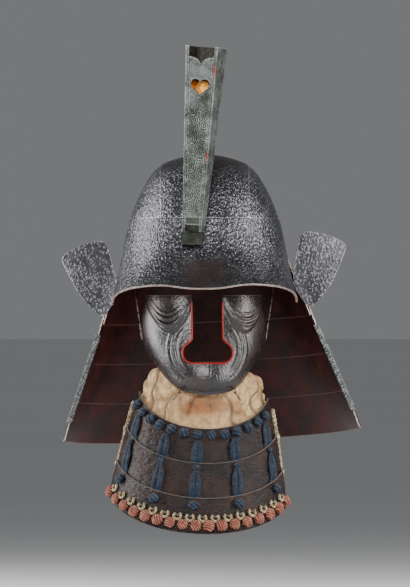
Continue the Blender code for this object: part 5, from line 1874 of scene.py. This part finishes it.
# %% [markdown]
# ### Walls of the crest
# The outer wall is one tall grid round the tube, dense on the front, with rows that follow the taper. The
# wall modifier gives it thickness, and the openings are cut through with Booleans once the mesh is settled.

# %% The crest's walls


def crest_columns():
    """Where the grid's columns stand round the tube: a side from 0 to 3 and a share along it."""
    columns = [(0, k / 10) for k in range(10)] + [(1, k / 22) for k in range(22)]
    columns += [(2, k / 76) for k in range(76)] + [(3, k / 22) for k in range(22)]
    return columns


def crest_point(side, share, z):
    """A point of the outer wall; the sides are back, right, front and left. Also its raised share."""
    half_width = blend(CREST_FOOT_WIDTH, CREST_TOP_WIDTH, z / CREST_HEIGHT) / 2
    half_depth = blend(CREST_FOOT_DEPTH, CREST_TOP_DEPTH, z / CREST_HEIGHT) / 2
    if side == 0:
        return Vector((blend(half_width, -half_width, share), half_depth, z)), 0.45
    if side in (1, 3):
        y = blend(half_depth, -half_depth, share) * (1 if side == 1 else -1)
        reach = half_depth - abs(y)
        line = line_at(abs(reach - 3.2 * MM), 0.45 * MM)
        x = half_width + 0.3 * MM * line
        return Vector((-x if side == 1 else x, y, z)), max(line, 0.55 + 0.1 * (reach < 3 * MM))
    x = blend(-half_width, half_width, share)
    sunk = CREST_SINK * eased((panel_half(z) - abs(x)) / (0.5 * MM) + 0.5)
    rise, raised = front_relief(x, z)
    return Vector((x, -half_depth + sunk - rise, z)), raised


def worn_share(side, share, z):
    """Red spots on the border beside the heart and lower down, where the metal shows."""
    if side == 2 and share < 0.92 or side not in (2, 3):
        return 0.0
    if side == 3 and share > 0.06:
        return 0.0
    spot = max(1 - abs(z - 203 * MM) / (14 * MM), 1 - abs(z - 95 * MM) / (10 * MM), 0)
    return 0.9 * eased(1.8 * spot - 0.6 + 1.6 * grain.noise(Vector((share * 40, side, z * 420))))


def make_crest():
    columns = crest_columns()
    rows = 330
    points, raised, worn, rims, gilded = [], [], [], [], []
    for j in range(rows + 1):
        z = CREST_HEIGHT * j / rows
        glow = eased((z - 150 * MM) / (12 * MM)) * eased((206 * MM - z) / (6 * MM))
        for side, share in columns:
            point, up = crest_point(side, share, z)
            points.append(crest_place(point))
            raised.append(up)
            worn.append(worn_share(side, share, z))
            gilded.append(glow)
            rims.append(min((CREST_HEIGHT - z) / MM, min(share, 1 - share) * 40 + 0.3, RIM_ATTRIBUTE_REACH))
    count = len(columns)
    faces = []
    for j in range(rows):
        for i in range(count):
            a, b = j * count + i, j * count + (i + 1) % count
            faces.append((a, b, b + count, a + count))
    faces.append(tuple(reversed(range(count))))
    mesh = bpy.data.meshes.new("crest_copper")
    mesh.from_pydata([tuple(p) for p in points], [], faces)
    for name, values in (("relief", raised), ("worn", worn), ("rim", rims), ("gilded", gilded)):
        mesh.attributes.new(name, "FLOAT", "POINT").data.foreach_set("value", values)
    work = bmesh.new()
    work.from_mesh(mesh)
    bmesh.ops.recalc_face_normals(work, faces=work.faces)
    floor = max(work.faces, key=lambda face: len(face.verts))
    outwards = floor.normal.z < 0
    if not outwards:
        bmesh.ops.reverse_faces(work, faces=work.faces)
    work.to_mesh(mesh)
    work.free()
    piece = bpy.data.objects.new("crest_copper", mesh)
    bpy.context.scene.collection.objects.link(piece)
    for material in (copper, gilt, copper):
        mesh.materials.append(material)
    wall = piece.modifiers.new("Wall", "SOLIDIFY")
    wall.thickness = CREST_WALL
    wall.offset = -1
    wall.material_offset = 1
    wall.material_offset_rim = 2
    settle(piece, 40)
    open_crest(piece)
    fit(piece, "patinated_copper", "crest_box")


def heart_outline():
    """A boar's-eye heart, point down, as (x, z) pairs."""
    outline = []
    for k in range(48):
        turn = math.tau * k / 48
        lobes = 13 * math.cos(turn) - 5 * math.cos(2 * turn)
        z = (lobes - 2 * math.cos(3 * turn) - math.cos(4 * turn)) / 14.4
        outline.append((math.sin(turn) ** 3 * HEART["width"] / 2, HEART["middle"] + z * HEART["height"] / 2))
    return outline


def cusp_outline():
    """What is cut from the front above two lobes that meet in a notch."""
    half = CREST_TOP_WIDTH / 2 - CREST_BORDER
    outline = [(-half, CREST_HEIGHT + 4 * MM)]
    for k in range(49):
        x = blend(-1, 1, k / 48)
        lobe = math.sqrt(max(1 - (abs(x) - 1) ** 2, 0))
        outline.append((x * half, CREST_HEIGHT - CUSP_DROP - CUSP_NOTCH * (1 - lobe)))
    outline.append((half, CREST_HEIGHT + 4 * MM))
    return outline


def open_crest(piece):
    """Cut the heart, the space above the cusps, and the cord hole through the wearer's left side."""
    for outline in (heart_outline(), cusp_outline()):
        cut_prism(piece, outline, 0, -CREST_TOP_DEPTH, crest_place)
    ends = []
    count, radius = 16, CORD_HOLE["radius"]
    for x in (0, CREST_TOP_WIDTH):
        for k in range(count):
            turn = math.tau * k / count
            z = CORD_HOLE["height"] + radius * math.sin(turn)
            ends.append(crest_place(Vector((x, radius * math.cos(turn), z))))
    sides = [(k, (k + 1) % count, (k + 1) % count + count, k + count) for k in range(count)]
    cut_solid(piece, ends, [tuple(range(count)), tuple(range(count, 2 * count)), *sides])


make_crest()

# %% [markdown]
# ### Small iron parts and the holder
# The cord pins, the hangers of the mask and the crest's holder are simple enough as solids. They keep the
# frame's own meshes: a modifier rounds them off, and each gets its material on the object.

# %% Dressing the frame's own solids


def dress(node, material, levels=0, width=0.3 * MM):
    """Give a solid of the frame a material of its own and softer edges."""
    piece = bpy.data.objects[node]
    for slot in piece.material_slots:
        slot.link = "OBJECT"
        slot.material = material
    if levels:
        made = piece.modifiers.new("Round", "SUBSURF")
        made.levels = made.render_levels = levels
    else:
        made = piece.modifiers.new("Edges", "BEVEL")
        made.width = width
        made.segments = 3
        made.limit_method = "ANGLE"
    print("dressed", node)


for side, word in SIDES:
    dress(f"cord_pin_{word}", dark_iron, 2)
    dress(f"mask_hanger_{word}", dark_iron, 2)
dress("crest_socket", holder_copper)

# %% [markdown]
# ## Floor and light
# The helmet is held up as on a head, so the floor lies a little below it. Two tall soft lamps stand at the
# sides, which is what draws the bright bands down both flanks of the bowl, and a smaller one in front reaches
# in under the visor and lights the mask. The world is a dim grey, so that black lacquer still looks black.

# %% Floor and lamps
FLOOR_DEPTH = 0.56
FLOOR_RADIUS = 90.0


def make_floor():
    mesh = bpy.data.meshes.new("pale_floor")
    work = bmesh.new()
    bmesh.ops.create_circle(work, cap_ends=True, segments=64, radius=FLOOR_RADIUS)
    work.to_mesh(mesh)
    work.free()
    made = bpy.data.objects.new("pale_floor", mesh)
    made.location.z = -FLOOR_DEPTH
    bpy.context.scene.collection.objects.link(made)
    paint, tree, shader = new_material("pale floor", 0.0, 0.7)
    tone = {"Base": (0.78, 0.78, 0.775, 1), "Blotch": (0.82, 0.82, 0.815, 1), "Patch": 900.0, "Amount": 0.6}
    plug(tree, placed(tree, mottling, tone)["Color"], shader["Base Color"])
    mesh.materials.append(paint)


def make_lamp(name, azimuth, height, distance, size, power):
    """A soft lamp that looks at the helmet; azimuth 0 is the camera's side, positive to its right."""
    light = bpy.data.lights.new(name, "AREA")
    light.shape = "RECTANGLE"
    light.size, light.size_y = size
    light.energy = power
    made = bpy.data.objects.new(name, light)
    turn = math.radians(azimuth)
    made.location = (math.sin(turn) * distance, -math.cos(turn) * distance, height)
    target = Vector((0, 0, -0.15))
    made.rotation_euler = (target - made.location).to_track_quat("-Z", "Y").to_euler()
    bpy.context.scene.collection.objects.link(made)


def make_world():
    world = bpy.data.worlds.new("studio")
    world.use_nodes = True
    backdrop = world.node_tree.nodes["Background"].inputs
    backdrop["Color"].default_value = (0.9, 0.92, 0.95, 1)
    backdrop["Strength"].default_value = 0.2
    bpy.context.scene.world = world


make_floor()
make_lamp("left_softbox", -96, 0.2, 1.6, (0.9, 1.5), 52)
make_lamp("right_softbox", 70, 0.2, 1.6, (0.5, 1.5), 42)
make_lamp("front_softbox", -8, 0.4, 2.0, (0.8, 0.5), 40)
make_world()
print("floor", FLOOR_DEPTH, "m below the bowl's seat")
